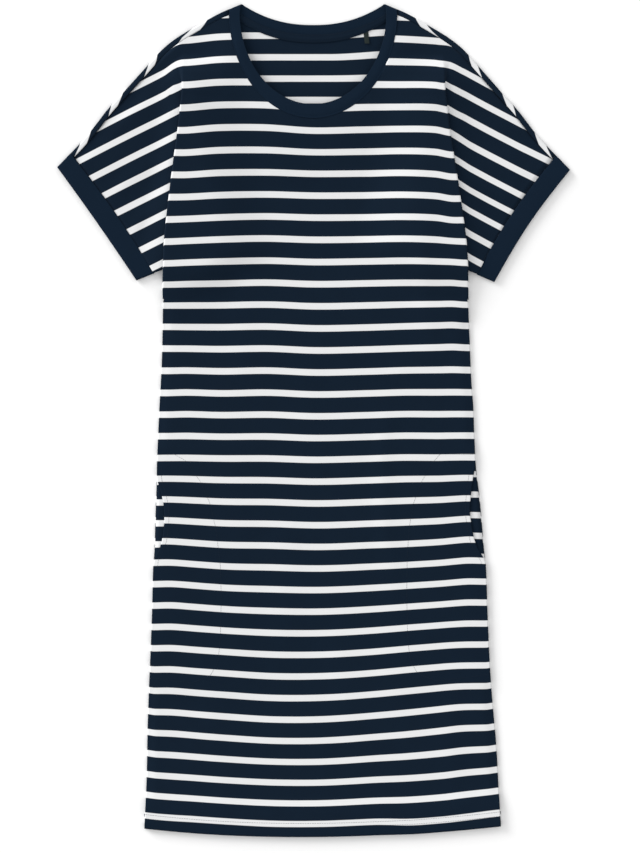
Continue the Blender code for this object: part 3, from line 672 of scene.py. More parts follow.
def sleeve(hand, inset, side):
    """The armhole fold, and the sleeve from its hidden bend out to the band."""
    floor = FRONT_Z if side == FRONT else BACK_Z
    top = shoulder(CREST_AT, inset)[1]
    stations = [s for s in NECK_STATIONS if s >= SHOULDER_ROWS]
    ends = [row_end(s, inset) for s in stations]
    ends += [(side_end(d), d) for d in ARM_ROWS]
    first, top_end, fold_top = None, shoulder(1.0, inset), shoulder(CREST_AT, inset)
    first_share = CREST_AT + fold_section(top, 3)[0] / SHOULDER_LENGTH
    grid = []
    for x0, drop in ends:
        v = (drop - top) / (UNDERARM - top)
        above, below = max(drop - 2, CREST[0][0]), min(drop + 2, UNDERARM)
        slant = math.atan2(curve(CREST, below) - curve(CREST, above), below - above)
        lift = relief(hand * x0, drop, side)
        z0 = (front_level(x0, drop) if side == FRONT else BACK_Z) + lift
        row = [cloth_point(hand * x0, drop, z0, side)]
        for share in FOLD_SHARES:
            run, fall = fold_section(drop, share)
            rise = VALLEY_RISE * max(0.0, drop - FOLD_APEX) * min(1.0, max(0.0, share - 1))
            across = x0 + run * math.cos(slant), drop - run * math.sin(slant) * smooth(v / 0.2) - rise
            along = shoulder(CREST_AT + run / SHOULDER_LENGTH, inset)
            beside = x0 + along[0] - fold_top[0], drop + along[1] - fold_top[1]
            x, d = mix((beside, across), smooth(v / 0.16))
            level = crest_level(d) if drop > SLEEVE_LEAVES else front_level(x0, drop)
            z = level - fall if side == FRONT else BACK_Z + fall
            knitting = folded_knit((hand * x0, drop), (hand * x, d), side, share)
            row.append((hand * x, d, z + lift * (1 - share / 3), *knitting))
        valley, end = (abs(row[-1][0]),) + row[-1][1:3], cuff_seam(v, inset, hand)
        first = first or valley[:2]
        hidden = max(0.0, -fold_section(drop, 3)[0])
        for u in SLEEVE_COLUMNS:
            straight = mix((valley[:2], end), u)
            chord = mix((first, top_end), u)
            arc = shoulder(first_share + (1 - first_share) * u, inset)
            x, d = (s + (a - c) * (1 - v) for s, a, c in zip(straight, arc, chord))
            out = math.dist((x, d), valley[:2]) - hidden
            z = floor + (valley[2] - floor) * smooth(1 - out / SLEEVE_SETTLES)
            edge = (1 - v) * math.dist(end, top_end)
            if side == FRONT:
                z -= (LOFT - STEP) * smooth(1 - edge / SLEEVE_SEAM_EASE) * smooth(u * 3)
            soft = relief(hand * x, d, side) * smooth(out / 12) * smooth((1 - u) * 6) * smooth(edge / 14)
            share = max(folded_share(drop), smooth((x - 150) / 30))
            row.append(cloth_point(hand * x, d, z + soft * smooth(v * 8), side, share))
        grid.append(row)
    return grid


def folded_share(drop):
    """0 where the cloth isn't folded yet, near the shoulder, and 1 where it is."""
    return smooth((drop - 72) / 30)


def folded_knit(crest, point, side, share):
    """Place in the knitting inside the fold, between the body's at the crest and the sleeve's."""
    folded = mix((knit(*crest, side, 0.0), knit(*point, side, 1.0)), smooth(share / 3))
    return mix((knit(*point, side, 0.0), folded), folded_share(crest[1]))


print("a row of a sleeve has", 1 + len(FOLD_SHARES) + len(SLEEVE_COLUMNS), "points")

# %% [markdown]
# ## Cloth from a grid
#
# sheet joins grids into one mesh, merges the points that they share, and writes the UV map. Solidify
# then gives the wall its thickness on both sides of the middle, which is how the CAD solid is made
# too. It stays a live modifier, since the middle surface is easier to look at and to change.


# %% Cloth from a grid
def sheet(name, grids, thickness, finish, smooth_edges=0.0):
    """A cloth wall through grids of points that share their edges."""
    mesh = bmesh.new()
    knitting = mesh.loops.layers.uv.new("knitting")
    for grid in grids:
        rows = [[mesh.verts.new(place(*point[:3])) for point in row] for row in grid]
        for i in range(len(rows) - 1):
            for j in range(len(rows[i]) - 1):
                corners = ((i, j), (i, j + 1), (i + 1, j + 1), (i + 1, j))
                face = mesh.faces.new([rows[r][c] for r, c in corners])
                for loop, (r, c) in zip(face.loops, corners):
                    loop[knitting].uv = grid[r][c][3] * MM, grid[r][c][4] * MM
    bmesh.ops.remove_doubles(mesh, verts=mesh.verts, dist=1e-6)
    bmesh.ops.dissolve_degenerate(mesh, edges=mesh.edges, dist=1e-7)
    bmesh.ops.recalc_face_normals(mesh, faces=mesh.faces)
    data = bpy.data.meshes.new(name)
    mesh.to_mesh(data)
    mesh.free()
    data.materials.append(finish)
    data.shade_smooth()
    piece = bpy.data.objects.new(name, data)
    bpy.context.scene.collection.objects.link(piece)
    wall = piece.modifiers.new("wall", "SOLIDIFY")
    wall.thickness = thickness * MM
    wall.offset = 0.0
    if smooth_edges:
        round_off = piece.modifiers.new("rounded edges", "BEVEL")
        round_off.width = smooth_edges * MM
        round_off.segments = 3
        round_off.limit_method = "ANGLE"
        round_off.angle_limit = math.radians(55)
    else:
        data.set_sharp_from_angle(angle=math.radians(60))
    print(name, len(data.polygons), "faces before its wall")
    return piece


# %% [markdown]
# ## Writing a finish as sums
#
# Knitting, weave and stripes are patterns that repeat, so they can be worked out from the UV map with
# sums. A node for each plus and times makes a tree that nobody can read. Value wraps a socket, so that
# 1 - mask or a * b in Python adds the Math node. Finish.node adds any other kind of node.


# %% Finish and Value
class Value:
    """A number that changes over a surface."""

    def __init__(self, finish, socket):
        self.finish, self.socket = finish, socket

    def math(self, operation, *values):
        sockets = dict(enumerate(values))
        return self.finish.node("ShaderNodeMath", {"operation": operation}, sockets)

    def __add__(self, other):
        return self.math("ADD", self, other)

    def __sub__(self, other):
        return self.math("SUBTRACT", self, other)

    def __rsub__(self, other):
        return self.math("SUBTRACT", other, self)

    def __mul__(self, other):
        return self.math("MULTIPLY", self, other)

    def __truediv__(self, other):
        return self.math("DIVIDE", self, other)

    def __abs__(self):
        return self.math("ABSOLUTE", self)

    def wave(self):
        """A sine that repeats once for each whole number."""
        return self.math("SINE", self * (2 * math.pi)) * 0.5 + 0.5

    def off_centre(self):
        """Distance from the nearest whole number, from 0 to a half."""
        return abs(self.math("FRACT", self + 0.5) - 0.5)

    def below(self, limit, soft):
        """1 where the value is under the limit, 0 over it, with a soft step between."""
        ramp = {"interpolation_type": "SMOOTHSTEP"}
        sockets = {0: self, 1: limit - soft, 2: limit + soft, 3: 1.0, 4: 0.0}
        return self.finish.node("ShaderNodeMapRange", ramp, sockets)


class Finish:
    """A material whose constant values are set first, and whose nodes come from one method."""

    def __init__(self, name, constants):
        self.material = bpy.data.materials.new(name)
        self.material.use_nodes = True
        self.tree = self.material.node_tree
        self.shader = self.tree.nodes["Principled BSDF"]
        for socket, value in constants.items():
            self.shader.inputs[socket].default_value = value

    def node(self, kind, settings, sockets, output=0):
        """Any node: its settings first, then the values or links of its sockets."""
        node = self.tree.nodes.new(kind)
        for name, value in settings.items():
            setattr(node, name, value)
        for key, value in sockets.items():
            if isinstance(value, Value):
                self.tree.links.new(value.socket, node.inputs[key])
            else:
                node.inputs[key].default_value = value
        return Value(self, node.outputs[output])

    def knitting(self):
        """Across and down the cloth in millimetres, from its UV map."""
        uv = self.node("ShaderNodeUVMap", {"uv_map": "knitting"}, {})
        parts = [self.node("ShaderNodeSeparateXYZ", {}, {0: uv}, output) for output in (0, 1)]
        return parts[0] * 1000.0, parts[1] * 1000.0

    def mottle(self, size, detail):
        """A soft cloudy value round a half, on the piece's own coordinates."""
        where = self.node("ShaderNodeTexCoord", {}, {}, "Object")
        return self.node("ShaderNodeTexNoise", {}, {"Vector": where, "Scale": 1 / size, "Detail": detail})

    def blend(self, factor, first, second):
        """A colour between two colours."""
        sockets = {0: factor, 6: first, 7: second}
        return self.node("ShaderNodeMix", {"data_type": "RGBA"}, sockets, 2)

    def tint(self, factor, colour, dark, light):
        """A colour between a darker and a lighter shade of itself."""
        low, high = (tuple(share * c for c in colour) for share in (dark, light))
        return self.blend(factor, low, high)

    def set(self, socket, value):
        """Link a changing value to the shader."""
        self.tree.links.new(value.socket, self.shader.inputs[socket])

    def bump(self, height, depth, strength):
        """Fine relief from a height between 0 and 1. depth is in metres."""
        sockets = {"Height": height, "Distance": depth, "Strength": strength}
        self.set("Normal", self.node("ShaderNodeBump", {}, sockets))


print("finish helpers ready")

# %% [markdown]
# ## Jersey
#
# Jersey shows small V's in columns on its right side. A column is about 1 mm wide and a row 0.75 mm
# high. Two legs lean towards the middle of each column, so the row's wave is shifted by the distance
# from it. Cotton is matt, with a little fuzz that catches light at a slant: that is the sheen.

# %% Jersey finishes
NAVY = (0.0035, 0.0106, 0.0226, 1)
WHITE = (0.742, 0.748, 0.755, 1)
STRIPE_HALF = 3.85
KNIT_DEPTH, KNIT_STRENGTH = 0.00016, 0.35
FUZZ = {"Roughness": 0.95, "Sheen Weight": 0.01, "Sheen Roughness": 0.5, "Specular IOR Level": 0.1}


def knit_height(across, down, column, row):
    """Height of plain knitting, as small V's in columns."""
    leg = (across / column).off_centre() * 2.0
    ribs = 1.0 - leg * leg
    return ribs * 0.55 + (down / row + leg * 0.7).wave() * 0.45


def striped_jersey():
    """Navy jersey with knitted white stripes."""
    finish = Finish("striped jersey", FUZZ)
    across, down = finish.knitting()
    cloud = finish.mottle(0.02, 3.0)
    count = (down - FIRST_STRIPE) / REPEAT
    away = count.off_centre() * REPEAT + (cloud - 0.5) * 0.25
    white = away.below(STRIPE_HALF, 0.35)
    grain = knit_height(across, down, 1.05, 0.78)
    # Painted shade mixed with real mottle: the cloud is the yarn's random tone, and the grain term paints
    # the knit darker where its bump height is low, between the loops, and lighter on their tops.
    mottle_and_knit_shade = cloud * 0.5 + grain * 0.3
    navy, pale = finish.tint(mottle_and_knit_shade, NAVY, 0.86, 1.16), finish.tint(mottle_and_knit_shade, WHITE, 0.965, 1.02)
    finish.set("Base Color", finish.blend(white, navy, pale))
    finish.bump(grain, KNIT_DEPTH, KNIT_STRENGTH)
    return finish.material


def plain_jersey(name, colour, column, row):
    """Plain jersey for the bands."""
    finish = Finish(name, FUZZ)
    across, down = finish.knitting()
    cloud = finish.mottle(0.03, 3.0)
    grain = knit_height(across, down, column, row)
    # Painted shade mixed with real mottle: the cloud is random tone, and the grain term paints the knit
    # darker between its loops and lighter on their tops.
    finish.set("Base Color", finish.tint(cloud * 0.6 + grain * 0.3, colour, 0.88, 1.14))
    finish.bump(grain, KNIT_DEPTH, KNIT_STRENGTH)
    return finish.material


jersey = striped_jersey()
trim = plain_jersey("navy trim", (0.0035, 0.0114, 0.0250, 1), 0.95, 0.7)
print("jersey finishes made")

# %% [markdown]
# ## Woven tape, tab and thread
#
# The neck tape is a narrow twill, whose slanting lines turn back in a zigzag. The tab is a small
# charcoal ribbon. Thread is a little smoother than the cotton. The tape's thread is as dark as the
# tape, so it hardly shows.


# %% Tape, tab and thread finishes
def woven(name, colour, width, slant, depth):
    """A ribbed weave whose lines slant one way and then the other, with painted shade in its grooves."""
    finish = Finish(name, {"Roughness": 0.95, "Specular IOR Level": 0.1})
    across, down = finish.knitting()
    turn = (across / 6.0).off_centre() * slant
    lines = ((down + turn) / width).wave()
    threads = (across / 0.45).wave()
    height = lines * 0.7 + threads * 0.3
    # Painted shade: the colour follows the weave's bump height, darker in the grooves between lines and
    # threads and lighter on their raised tops.
    finish.set("Base Color", finish.tint(height, colour, 0.8, 1.2))
    finish.bump(height, depth, 0.5)
    return finish.material


def twisted_thread(name, colour):
    """Sewing thread, with a fine twist along it."""
    finish = Finish(name, {"Roughness": 0.8, "Specular IOR Level": 0.15})
    cloud = finish.mottle(0.0008, 1.0)
    finish.set("Base Color", finish.tint(cloud, colour, 0.75, 1.3))
    finish.bump(cloud, 0.00005, 0.4)
    return finish.material


tape_finish = woven("navy twill tape", (0.0040, 0.0110, 0.0228, 1), 0.9, 12.0, 0.00008)
tab_finish = woven("charcoal ribbon", (0.019, 0.026, 0.025, 1), 0.6, 5.0, 0.0001)
thread = twisted_thread("navy thread", (0.007, 0.014, 0.027, 1))
tape_thread = twisted_thread("dark thread", (0.0036, 0.0098, 0.0205, 1))
print("tape, tab and thread finishes made")

# %% [markdown]
# ## Front and back
#
# The front is two mirrored halves that meet on the centre line. The back is made the same way, but its
# fold rises inside the front's, and a strip at the shoulder rolls over to the seam on the front. On
# that strip the stripes are the back's own, turned over, which is why they look steep there.

# %% Front
front_grids = [grid for hand in HANDS for grid in (front_body(hand), sleeve(hand, SEAM_INSET, FRONT))]
front = sheet("striped_front", front_grids, CLOTH, jersey)


# %% Back
BACK_LINES = tuple(k / 32 for k in range(33))
BACK_STRAIGHT = 68.0      # drop of the first straight row of the back


def back_body(hand):
    """One half of the back, which rests on the surface."""
    body = []
    for station in NECK_STATIONS:
        x0, d0 = row_end(station, ROLL)
        row = [(x0, d0)]
        for c in BACK_LINES[1:]:
            x, d = x0 * (1 - c), d0
            if station <= BACK_NECK_ROWS:
                neck_x = BACK_SEAM[0] * (1 - c)
                neck = neck_x, back_neck(BACK_SEAM, neck_x) + GAP
                x, d = mix((neck, (x, BACK_STRAIGHT)), station / BACK_NECK_ROWS)
            row.append((x, d))
        body.append(row)
    low = ARM_ROWS + steps(UNDERARM, HEM_DROP - HEM_TURN, 6)[1:]
    for drop in low:
        body.append([(side_end(drop) * (1 - c), drop) for c in BACK_LINES])
    grid = []
    for i, row in enumerate(body):
        line = []
        for j, (x, d) in enumerate(row):
            calm = smooth(i / 6) * smooth((HEM_DROP - 40 - d) / 30) * smooth((abs(row[0][0]) - abs(x)) / 40)
            line.append(cloth_point(hand * x, d, BACK_Z + max(0.0, relief(hand * x, d, BACK)) * calm, BACK))
        grid.append(line)
    add_hem(grid, BACK)
    return grid


def shoulder_roll(hand, body, patch):
    """The strip of the back that rolls over the shoulder and ends at the seam on the front."""
    edge = [row[0] for row in body[:NECK_STATIONS.index(SHOULDER_ROWS)]] + patch[0]
    total = [0.0]
    for a, b in zip(edge, edge[1:]):
        total.append(total[-1] + math.dist(a[:2], b[:2]))
    grid = []
    for point, s in zip(edge, total):
        share = NECK_START + (1 - NECK_START) * s / total[-1]
        tuck = TUCK * smooth((share - 0.95) / 0.05)
        row = [point]
        places = [(a, 0.0) for a in (20, 40, 60, 80, 100, 120, 140, 160, 180)]
        places += [(180, (SEAM_INSET - GAP - ROLL) * k / 3) for k in (1, 2, 3)]
        for angle, flat in places:
            turn = math.radians(angle)
            inside = ROLL - ROLL * math.sin(turn) + flat
            under_band = 3.4 * smooth(1 - s / 14) * smooth(turn) * (1 - 0.6 * inside / SEAM_INSET)
            spot = share - under_band / SHOULDER_LENGTH
            x, d = shoulder(spot, inside)
            flat_x, flat_d = shoulder(spot, ROLL - ROLL * turn - flat)
            z = BACK_Z + ROLL * (1 - math.cos(turn))
            across, down = knit(hand * flat_x, flat_d, BACK, smooth((share - 0.03) / 0.4))
            down += REPEAT * read(ROLLED[hand], share) * smooth(turn / 1.5)
            row.append((hand * (x + tuck * 0.83), d + tuck * 0.56, z, across, down))
        grid.append(row)
    return grid


def back_grids(hand):
    """All grids of one half of the back."""
    body, patch = back_body(hand), sleeve(hand, ROLL, BACK)
    return [body, patch, shoulder_roll(hand, body, patch)]


back = sheet("striped_back", [grid for hand in HANDS for grid in back_grids(hand)], CLOTH, jersey)

# %% [markdown]
# ## Neckband
#
# The band is one strip of jersey folded in half and sewn on as a ring. It is thicker than one layer and
# rolls over the shoulder from the back to the front. Its middle is slightly padded, with a shallow
# groove beside the seam, and its free edge is round, which a bevel on the wall gives.

# %% Neckband
ACROSS_BAND = (0.0, 0.06, 0.13, 0.2, 0.32, 0.46, 0.6, 0.74, 0.86, 0.94, 1.0)
NECK_ROLL = 1.8
BAND_WIDTH = 17.0
FRONT_FREE = (87.2, 3.2)    # where the free edge comes round to the front


def band_puff(c):
    """Height of the band's own form across its width: a groove beside the seam, then a soft crown."""
    return 0.28 * math.sin(math.pi * smooth(c)) - 0.3 * math.exp(-((c - 0.13) / 0.05) ** 2)


def neckband(hand):
    """Half of the neckband's ring, from the centre back over the shoulder to the centre front."""
    spots = []
    for k in range(32):
        seam, free = BACK_SEAM[0] * k / 32, BACK_FREE[0] * k / 32
        pair = (seam, back_neck(BACK_SEAM, seam)), (free, back_neck(BACK_FREE, free))
        spots.append((pair, DOUBLED / 2, 0.0))
    pair = (BACK_SEAM[0] - 0.5, BACK_SEAM[2] + 1.5), (BACK_FREE[0], BACK_FREE[2])
    width = math.dist(*pair)
    up_x, up_d = (pair[0][1] - pair[1][1]) / width, (pair[1][0] - pair[0][0]) / width
    for k in range(13):
        turn = math.pi * k / 12
        out = NECK_ROLL * math.sin(turn)
        pair = pair[0], mix((BACK_FREE[::2], FRONT_FREE), smooth(k / 12))
        moved = tuple((x + up_x * out, d + up_d * out) for x, d in pair)
        spots.append((moved, DOUBLED / 2 + NECK_ROLL * (1 - math.cos(turn)), 0.0))
    shoulder_z = DOUBLED / 2 + 2 * NECK_ROLL
    for k in steps(0, NECK_ROWS, 0.25):
        pair = neck_point(k, NECK_SEAM), neck_point(k, NECK_FREE)
        z = shoulder_z + (FRONT_Z + NECK_LIFT - shoulder_z) * neck_lift(pair[0][1])
        spots.append((pair, z, smooth(k / 2)))
    rows, along, before = [], 0.0, None
    for pair, z, crowned in spots:
        middle = (*mix(pair, 0.5), z)
        along += math.dist(middle, before) if before else 0.0
        before = middle
        row = []
        for c in ACROSS_BAND:
            x, d = mix(pair, c)
            row.append((hand * x, d, z + crowned * band_puff(c), hand * along, c * BAND_WIDTH))
        rows.append(row)
    return rows


band = sheet("neckband_ring", [neckband(hand) for hand in HANDS], DOUBLED, trim, smooth_edges=0.6)

# %% [markdown]
# ## Neck tape and tab
#
# Inside the back a narrow tape covers the neck seam, and a small folded tab hangs from it. Both are
# flat ribbons that lie on the layers under them.

# %% Tape and tab
TAPE_ABOVE, TAPE_BELOW, TAPE_HALF = 5.6, 4.1, 95.0
TAPE_SHARES = steps(0, 1, 0.1)
THIN = 0.6              # the real tape is thinner than its solid
TAPE_Z = DOUBLED + GAP + THIN / 2
TAB_X, TAB_WIDTH, TAB_END, TAB_LEAN = 63.4, 5.6, 46.8, 1.4


def neck_tape():
    """The tape over the inside of the back neck seam."""
    rows = []
    for x in steps(-TAPE_HALF, TAPE_HALF, 3):
        drop = back_neck(BACK_SEAM, x)
        pair = (x, drop - TAPE_ABOVE), (x, drop + TAPE_BELOW)
        fall = [0.55 * smooth((c - 0.6) / 0.3) for c in TAPE_SHARES]
        rows.append([(*mix(pair, c), TAPE_Z - down, x, 9.7 * c) for c, down in zip(TAPE_SHARES, fall)])
    return rows


def neck_tab():
    """The short tab that hangs from the tape's lower edge over the back."""
    rows = []
    for t in steps(0, 1, 0.05):
        line = []
        for side in steps(-1, 1, 0.25):
            x = TAB_X + side * TAB_WIDTH / 2
            top = back_neck(BACK_SEAM, x) + TAPE_BELOW - 0.6
            z = CLOTH + 0.35 * GAP + 0.4 * THIN + 0.9 * smooth(t) + 0.12 * (1 - side * side)
            line.append((x + TAB_LEAN * t, top + (TAB_END - top) * t, z, side * 2.8, 12.0 * t))
        rows.append(line)
    return rows


tape = sheet("neck_tape_twill", [neck_tape()], THIN, tape_finish, smooth_edges=0.15)
tab = sheet("neck_tab_ribbon", [neck_tab()], 0.8 * THIN, tab_finish, smooth_edges=0.1)

# %% [markdown]
# ## Sleeve bands
#
# Each sleeve ends in a doubled band, sewn on as a ring and pressed flat. Its outer edge is pulled in a
# little in the middle, more on the right. The ring is one closed loop of points for each step from the
# sleeve out to the edge.

# %% Sleeve bands
CUFF_OUTER_TOP, CUFF_OUTER_BOTTOM = (307.5, 197.6), (215.4, 331.6)


def cuff(hand):
    """A flattened ring, as rows of points from the sleeve out."""
    ends = [(shoulder(1.0, 0.0), CUFF_BOTTOM), (CUFF_OUTER_TOP, CUFF_OUTER_BOTTOM)]
    radius = LOFT / 2
    width = math.dist(ends[0][0], ends[1][0])
    rows = []
    for share in [GAP / width] + [k / 9 for k in range(1, 10)]:
        top, bottom = (mix((ends[0][i], ends[1][i]), share) for i in (0, 1))
        length = math.dist(top, bottom)
        dx, dd = (bottom[0] - top[0]) / length, (bottom[1] - top[1]) / length
        turns = [math.radians(12 * k) for k in range(1, 15)]
        bend = [(radius - radius * math.sin(a), radius * math.cos(a)) for a in turns]
        flat = [radius + (length - 2 * radius) * k / 40 for k in range(41)]
        loop = [(s, radius) for s in reversed(flat)] + bend
        loop += [(s, -radius) for s in flat] + [(length - s, -up) for s, up in bend]
        bow = CUFF_BOW[hand][0] * (1 - share) + CUFF_BOW[hand][1] * share
        row, along, before = [], 0.0, None
        for s, up in loop + loop[:1]:
            t = s / length
            crown = 0.3 * math.sin(math.pi * share) * math.sin(math.pi * t) if up > 0 else 0.0
            ripple = 0.12 * math.sin(s / 9 + hand) * math.sin(math.pi * t) if up > 0 else 0.0
            along += math.dist((s, up), before) if before else 0.0
            before = (s, up)
            x, d = drawn_in((top[0] + dx * s, top[1] + dd * s), t, bow)
            row.append((hand * x, d, DOUBLED / 2 + radius + up + crown + ripple, along, share * width))
        rows.append(row)
    return rows


cuff_right = sheet("sleeve_band_right", [cuff(RIGHT)], DOUBLED, trim, smooth_edges=0.5)
cuff_left = sheet("sleeve_band_left", [cuff(LEFT)], DOUBLED, trim, smooth_edges=0.5)

# %% [markdown]
# ## Pocket bags
#
# A pocket bag is one layer of the same jersey between front and back. It shows only in the mouth, where
# its stripes don't quite meet the front's.

# %% Pocket bags
BAG_STRIPE_SHIFT = {RIGHT: 4.9, LEFT: -3.9}


def pocket(hand):
    """A pocket bag, from the side seam in to the line that holds it."""
    rows = []
    for drop in steps(BAG[0][0], BAG[-1][0], 6):
        start = read(BAG, drop) - hand * BAG_SHIFT
        outer = curve(SIDE, drop) - BAG_EDGE
        row = []
        for c in steps(0, 1, 0.07):
            x = hand * (outer + (start - outer) * c)
            across, down = knit(x, drop, FRONT, 0.0)
            row.append((x, drop, BACK_Z + STEP, across, down + BAG_STRIPE_SHIFT[hand]))
        rows.append(row)
    return rows


pocket_right = sheet("pocket_bag_right", [pocket(RIGHT)], CLOTH, jersey)
pocket_left = sheet("pocket_bag_left", [pocket(LEFT)], CLOTH, jersey)

# %% [markdown]
# ## Stitches
#
# A stitch repeats along a line hundreds of times, which is a job for Geometry Nodes. The tree turns the
# edges of a path into curves, puts points on them at the stitch's spacing, lays a small pill on each
# along the line, and makes it all real geometry. Its sizes are inputs, so one tree serves every seam.


# %% Stitch tree
def stitch_tree():
    """A tree that sews along the edges of a mesh."""
    tree = bpy.data.node_groups.new("stitches along a path", "GeometryNodeTree")
    inputs = (("Path", "Geometry"), ("Spacing", "Float"), ("Length", "Float"), ("Thickness", "Float"),
              ("Unevenness", "Float"), ("Seed", "Int"), ("Thread", "Material"))
    for name, kind in inputs:
        tree.interface.new_socket(name, in_out="INPUT", socket_type="NodeSocket" + kind)
    tree.interface.new_socket("Stitches", in_out="OUTPUT", socket_type="NodeSocketGeometry")

    def node(kind, settings, sockets):
        made = tree.nodes.new(kind)
        for key, value in settings.items():
            setattr(made, key, value)
        for key, value in sockets.items():
            if isinstance(value, bpy.types.NodeSocket):
                tree.links.new(value, made.inputs[key])
            else:
                made.inputs[key].default_value = value
        return made.outputs

    given = node("NodeGroupInput", {}, {})
    line = node("GeometryNodeMeshToCurve", {}, {"Mesh": given["Path"]})
    spots = node("GeometryNodeCurveToPoints", {"mode": "LENGTH"}, {
        "Curve": line[0], "Length": given["Spacing"]})
    pill = node("GeometryNodeMeshUVSphere", {}, {"Segments": 6, "Rings": 4, "Radius": 0.5})
    turned = node("FunctionNodeAlignRotationToVector", {"axis": "Z"}, {"Vector": spots["Tangent"]})
    size = node("ShaderNodeCombineXYZ", {}, {
        0: given["Thickness"], 1: given["Thickness"], 2: given["Length"]})
    chance = node("FunctionNodeRandomValue", {"data_type": "FLOAT"}, {
        2: -1.0, 3: 1.0, "Seed": given["Seed"]})
    vary = node("ShaderNodeMath", {"operation": "MULTIPLY_ADD"}, {
        0: chance[1], 1: given["Unevenness"], 2: 1.0})
    scaled = node("ShaderNodeVectorMath", {"operation": "SCALE"}, {0: size[0], "Scale": vary[0]})
    laid = node("GeometryNodeInstanceOnPoints", {}, {
        "Points": spots["Points"], "Instance": pill["Mesh"], "Rotation": turned[0], "Scale": scaled[0]})
    real = node("GeometryNodeRealizeInstances", {}, {0: laid[0]})
    rounded = node("GeometryNodeSetShadeSmooth", {}, {0: real[0]})
    coloured = node("GeometryNodeSetMaterial", {}, {"Geometry": rounded[0], "Material": given["Thread"]})
    node("NodeGroupOutput", {}, {0: coloured[0]})
    return tree


STITCH_TREE = stitch_tree()
print("stitch tree has", len(STITCH_TREE.nodes), "nodes")


# %% Sewing along lines
def sew(name, lines, spacing, length, thickness, yarn, seed):
    """Stitches along lines of points, as a plain mesh."""
    vertices, edges = [], []
    for line in lines:
        edges += [(len(vertices) + k, len(vertices) + k + 1) for k in range(len(line) - 1)]
        vertices += [place(*point) for point in line]
    path = bpy.data.meshes.new(name + " path")
    path.from_pydata(vertices, edges, [])
    carrier = bpy.data.objects.new(name + " path", path)
    bpy.context.scene.collection.objects.link(carrier)
    sewing = carrier.modifiers.new("stitches", "NODES")
    sewing.node_group = STITCH_TREE
    values = {"Spacing": spacing * MM, "Length": length * MM, "Thickness": thickness * MM,
              "Unevenness": 0.08, "Seed": seed, "Thread": yarn}
    for item in STITCH_TREE.interface.items_tree:
        if item.in_out == "INPUT" and item.name in values:
            sewing[item.identifier] = values[item.name]
    evaluated = carrier.evaluated_get(bpy.context.evaluated_depsgraph_get())
    data = bpy.data.meshes.new_from_object(evaluated)
    data.name = name
    stitches = bpy.data.objects.new(name, data)
    bpy.context.scene.collection.objects.link(stitches)
    bpy.data.objects.remove(carrier, do_unlink=True)
    print(name, len(data.polygons), "faces")
    return stitches


def on_front(x, drop):
    """A point on the front's upper face."""
    return x, drop, front_level(x, drop) + front_relief(x, drop) + CLOTH / 2


# %% [markdown]
# ## Where the thread runs
#
# The photograph shows a seam beside each pocket mouth, the line that holds each pocket bag, and a faint
# line over the hem. The hem is sewn with a twin needle, so it has two rows. The tape is sewn along both
# of its edges, and the row along its lower edge holds the tab.

# %% Hem and pocket stitches
HEM_LINES = (HEM_DROP - HEM_DEPTH + 0.4, HEM_DROP - HEM_DEPTH + 5.2)
HEM_STITCH_END, MOUTH_INSET = 1.5, 5.4   # from the side seam, and from the mouth's edge
BAG_LINE = {RIGHT: -0.6, LEFT: 1.2}
BAG_CORNER = {RIGHT: ((149.0, 539.8), (141.6, 548.4)), LEFT: ((170.0, 540.4), (155.8, 548.2))}


def across_body(drop):
    """Places along a row of the body, from side to side."""
    half = curve(SIDE, drop) - HEM_STITCH_END
    return steps(-half, half, 4)


hem_lines = [[on_front(x, drop) for x in across_body(drop)] for drop in HEM_LINES]
hem_lines += [[(x, drop, 0.05) for x in across_body(drop)] for drop in HEM_LINES]
mouth_lines, bag_lines = [], []
for hand in HANDS:
    mouth = [(hand * (side_end(d, MOUTH[hand]) - MOUTH_INSET), d) for d in steps(556, 672, 3)]
    mouth_lines.append([on_front(x, d) for x, d in mouth])
    low = steps(556, BAG[-1][0] - 0.5, 3)
    bag = list(BAG_CORNER[hand]) + [(read(BAG, d) - hand * BAG_SHIFT + BAG_LINE[hand], d) for d in low]
    top = [(x, bag[0][1]) for x in steps(bag[0][0], curve(SIDE, bag[0][1]) - 3, 3)]
    bottom = [(x, BAG[-1][0]) for x in steps(bag[-1][0], curve(SIDE, BAG[-1][0]) - 3, 3)]
    bag_lines.append([on_front(hand * x, d) for x, d in top[:0:-1] + bag + bottom[1:]])
hem_stitches = sew("hem_stitches", hem_lines, 2.9, 2.7, 0.36, thread, 11)
pocket_stitches = sew("pocket_stitches", mouth_lines + bag_lines, 2.7, 2.65, 0.32, thread, 23)

# %% Tape and tab stitches
tape_lines = []
for inset, down in ((-TAPE_ABOVE + 1.1, 0.0), (TAPE_BELOW - 1.1, 0.53)):
    tape_lines.append([(x, back_neck(BACK_SEAM, x) + inset, TAPE_Z - down + THIN / 2 + 0.02)
                       for x in steps(-TAPE_HALF + 1.5, TAPE_HALF - 1.5, 3)])
tape_stitches = sew("tape_stitches", tape_lines, 2.4, 2.1, 0.34, tape_thread, 37)

# %% [markdown]
# ## Surface and light
#
# The picture was taken on a white surface under a wide soft light from the upper left, so the shadow is
# short, soft, and falls to the right and below. A sun lamp gives it, because its light comes from one
# direction everywhere and its angle sets how soft the edge is. An area lamp would be brighter on one
# side of the garment. A bright world fills the rest. The surface is slightly whiter than the stripes.

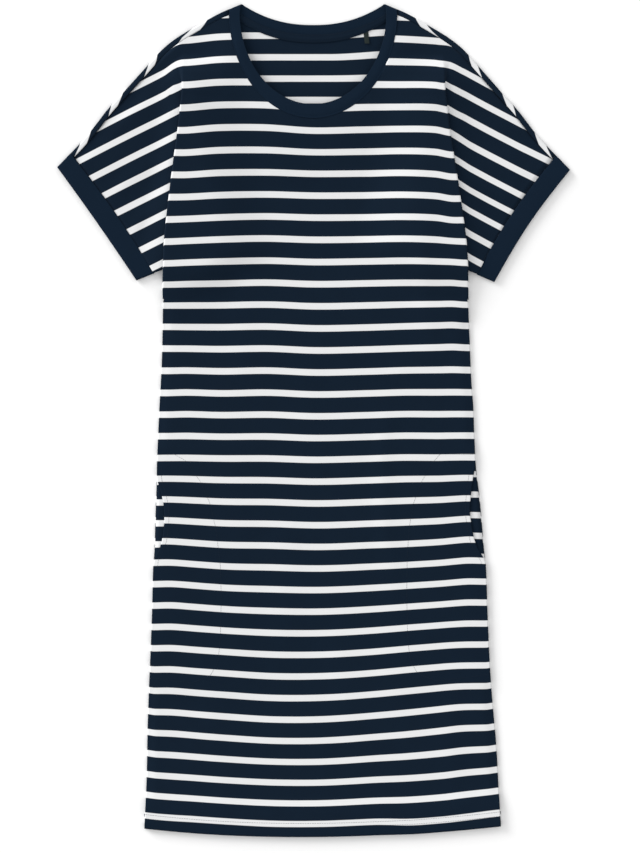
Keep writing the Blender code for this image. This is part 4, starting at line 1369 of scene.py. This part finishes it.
# %% Surface and light
floor_mesh = bpy.data.meshes.new("white_surface")
FLOOR_HALF, FLOOR_Z = 12.0, -0.0004
corners = ((-1, -1), (1, -1), (1, 1), (-1, 1))
floor_mesh.from_pydata([(FLOOR_HALF * a, FLOOR_HALF * b, FLOOR_Z) for a, b in corners], [], [(0, 1, 2, 3)])
matt_white = {"Base Color": (0.94, 0.94, 0.94, 1), "Roughness": 0.9, "Specular IOR Level": 0.1}
surface_finish = Finish("white surface", matt_white)
floor_mesh.materials.append(surface_finish.material)
floor = bpy.data.objects.new("white_surface", floor_mesh)
bpy.context.scene.collection.objects.link(floor)
world = bpy.data.worlds.new("studio")
world.use_nodes = True
world.node_tree.nodes["Background"].inputs["Color"].default_value = (1, 1, 1, 1)
world.node_tree.nodes["Background"].inputs["Strength"].default_value = 0.85
bpy.context.scene.world = world


def slanting_light(name, azimuth, elevation, width, strength):
    """A soft light that comes from one direction. Angles are in degrees."""
    data = bpy.data.lights.new(name, "SUN")
    data.angle = math.radians(width)
    data.energy = strength
    light = bpy.data.objects.new(name, data)
    around, up = math.radians(azimuth), math.radians(elevation)
    source = Vector((math.cos(around) * math.cos(up), math.sin(around) * math.cos(up), math.sin(up)))
    light.location = source
    light.rotation_euler = source.to_track_quat("Z", "Y").to_euler()
    bpy.context.scene.collection.objects.link(light)


slanting_light("softbox", 140, 14, 34, 3.58)
print("light and surface ready")

# %% [markdown]
# ## Put each piece on root, in place of its CAD solids
#
# Every piece rides on the one rigid body and stands for the CAD solids that it covers, which are hidden.
# The table also lists each sheet's slot, how large it was cut, its area and what it lies on, which nothing
# here reads.

# %% Replace the CAD solids
PIECES = (  # piece, CAD nodes, slot, width and length of the cut, its area, what it lies on
    (back, ("back",), "striped_jersey", (0.670, 1.016), 0.452, "white_surface"),
    (front, ("front",), "striped_jersey", (0.670, 1.016), 0.440, "striped_back"),
    (pocket_right, ("pocket_right",), "striped_jersey", (0.098, 0.263), 0.0215, "striped_back"),
    (pocket_left, ("pocket_left",), "striped_jersey", (0.086, 0.263), 0.0185, "striped_back"),
    (band, ("neckband",), "navy_trim", (0.0185, 0.515), None, "striped_front"),
    (tape, ("neck_tape",), "navy_trim", (0.0105, 0.206), None, "striped_back"),
    (tab, ("neck_tab",), "charcoal_tab", (0.010, 0.017), 0.0001, "striped_back"),
    (cuff_right, ("cuff_right",), "navy_trim", (0.0225, 0.336), None, "white_surface"),
    (cuff_left, ("cuff_left",), "navy_trim", (0.0225, 0.336), None, "white_surface"),
)
for piece, nodes, slot, cut, area, under in PIECES:
    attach(piece, "root")
    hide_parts(*nodes)
for piece in (hem_stitches, pocket_stitches, tape_stitches):
    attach(piece, "root")
print(len(PIECES), "sheets and three sets of stitches ride on root")
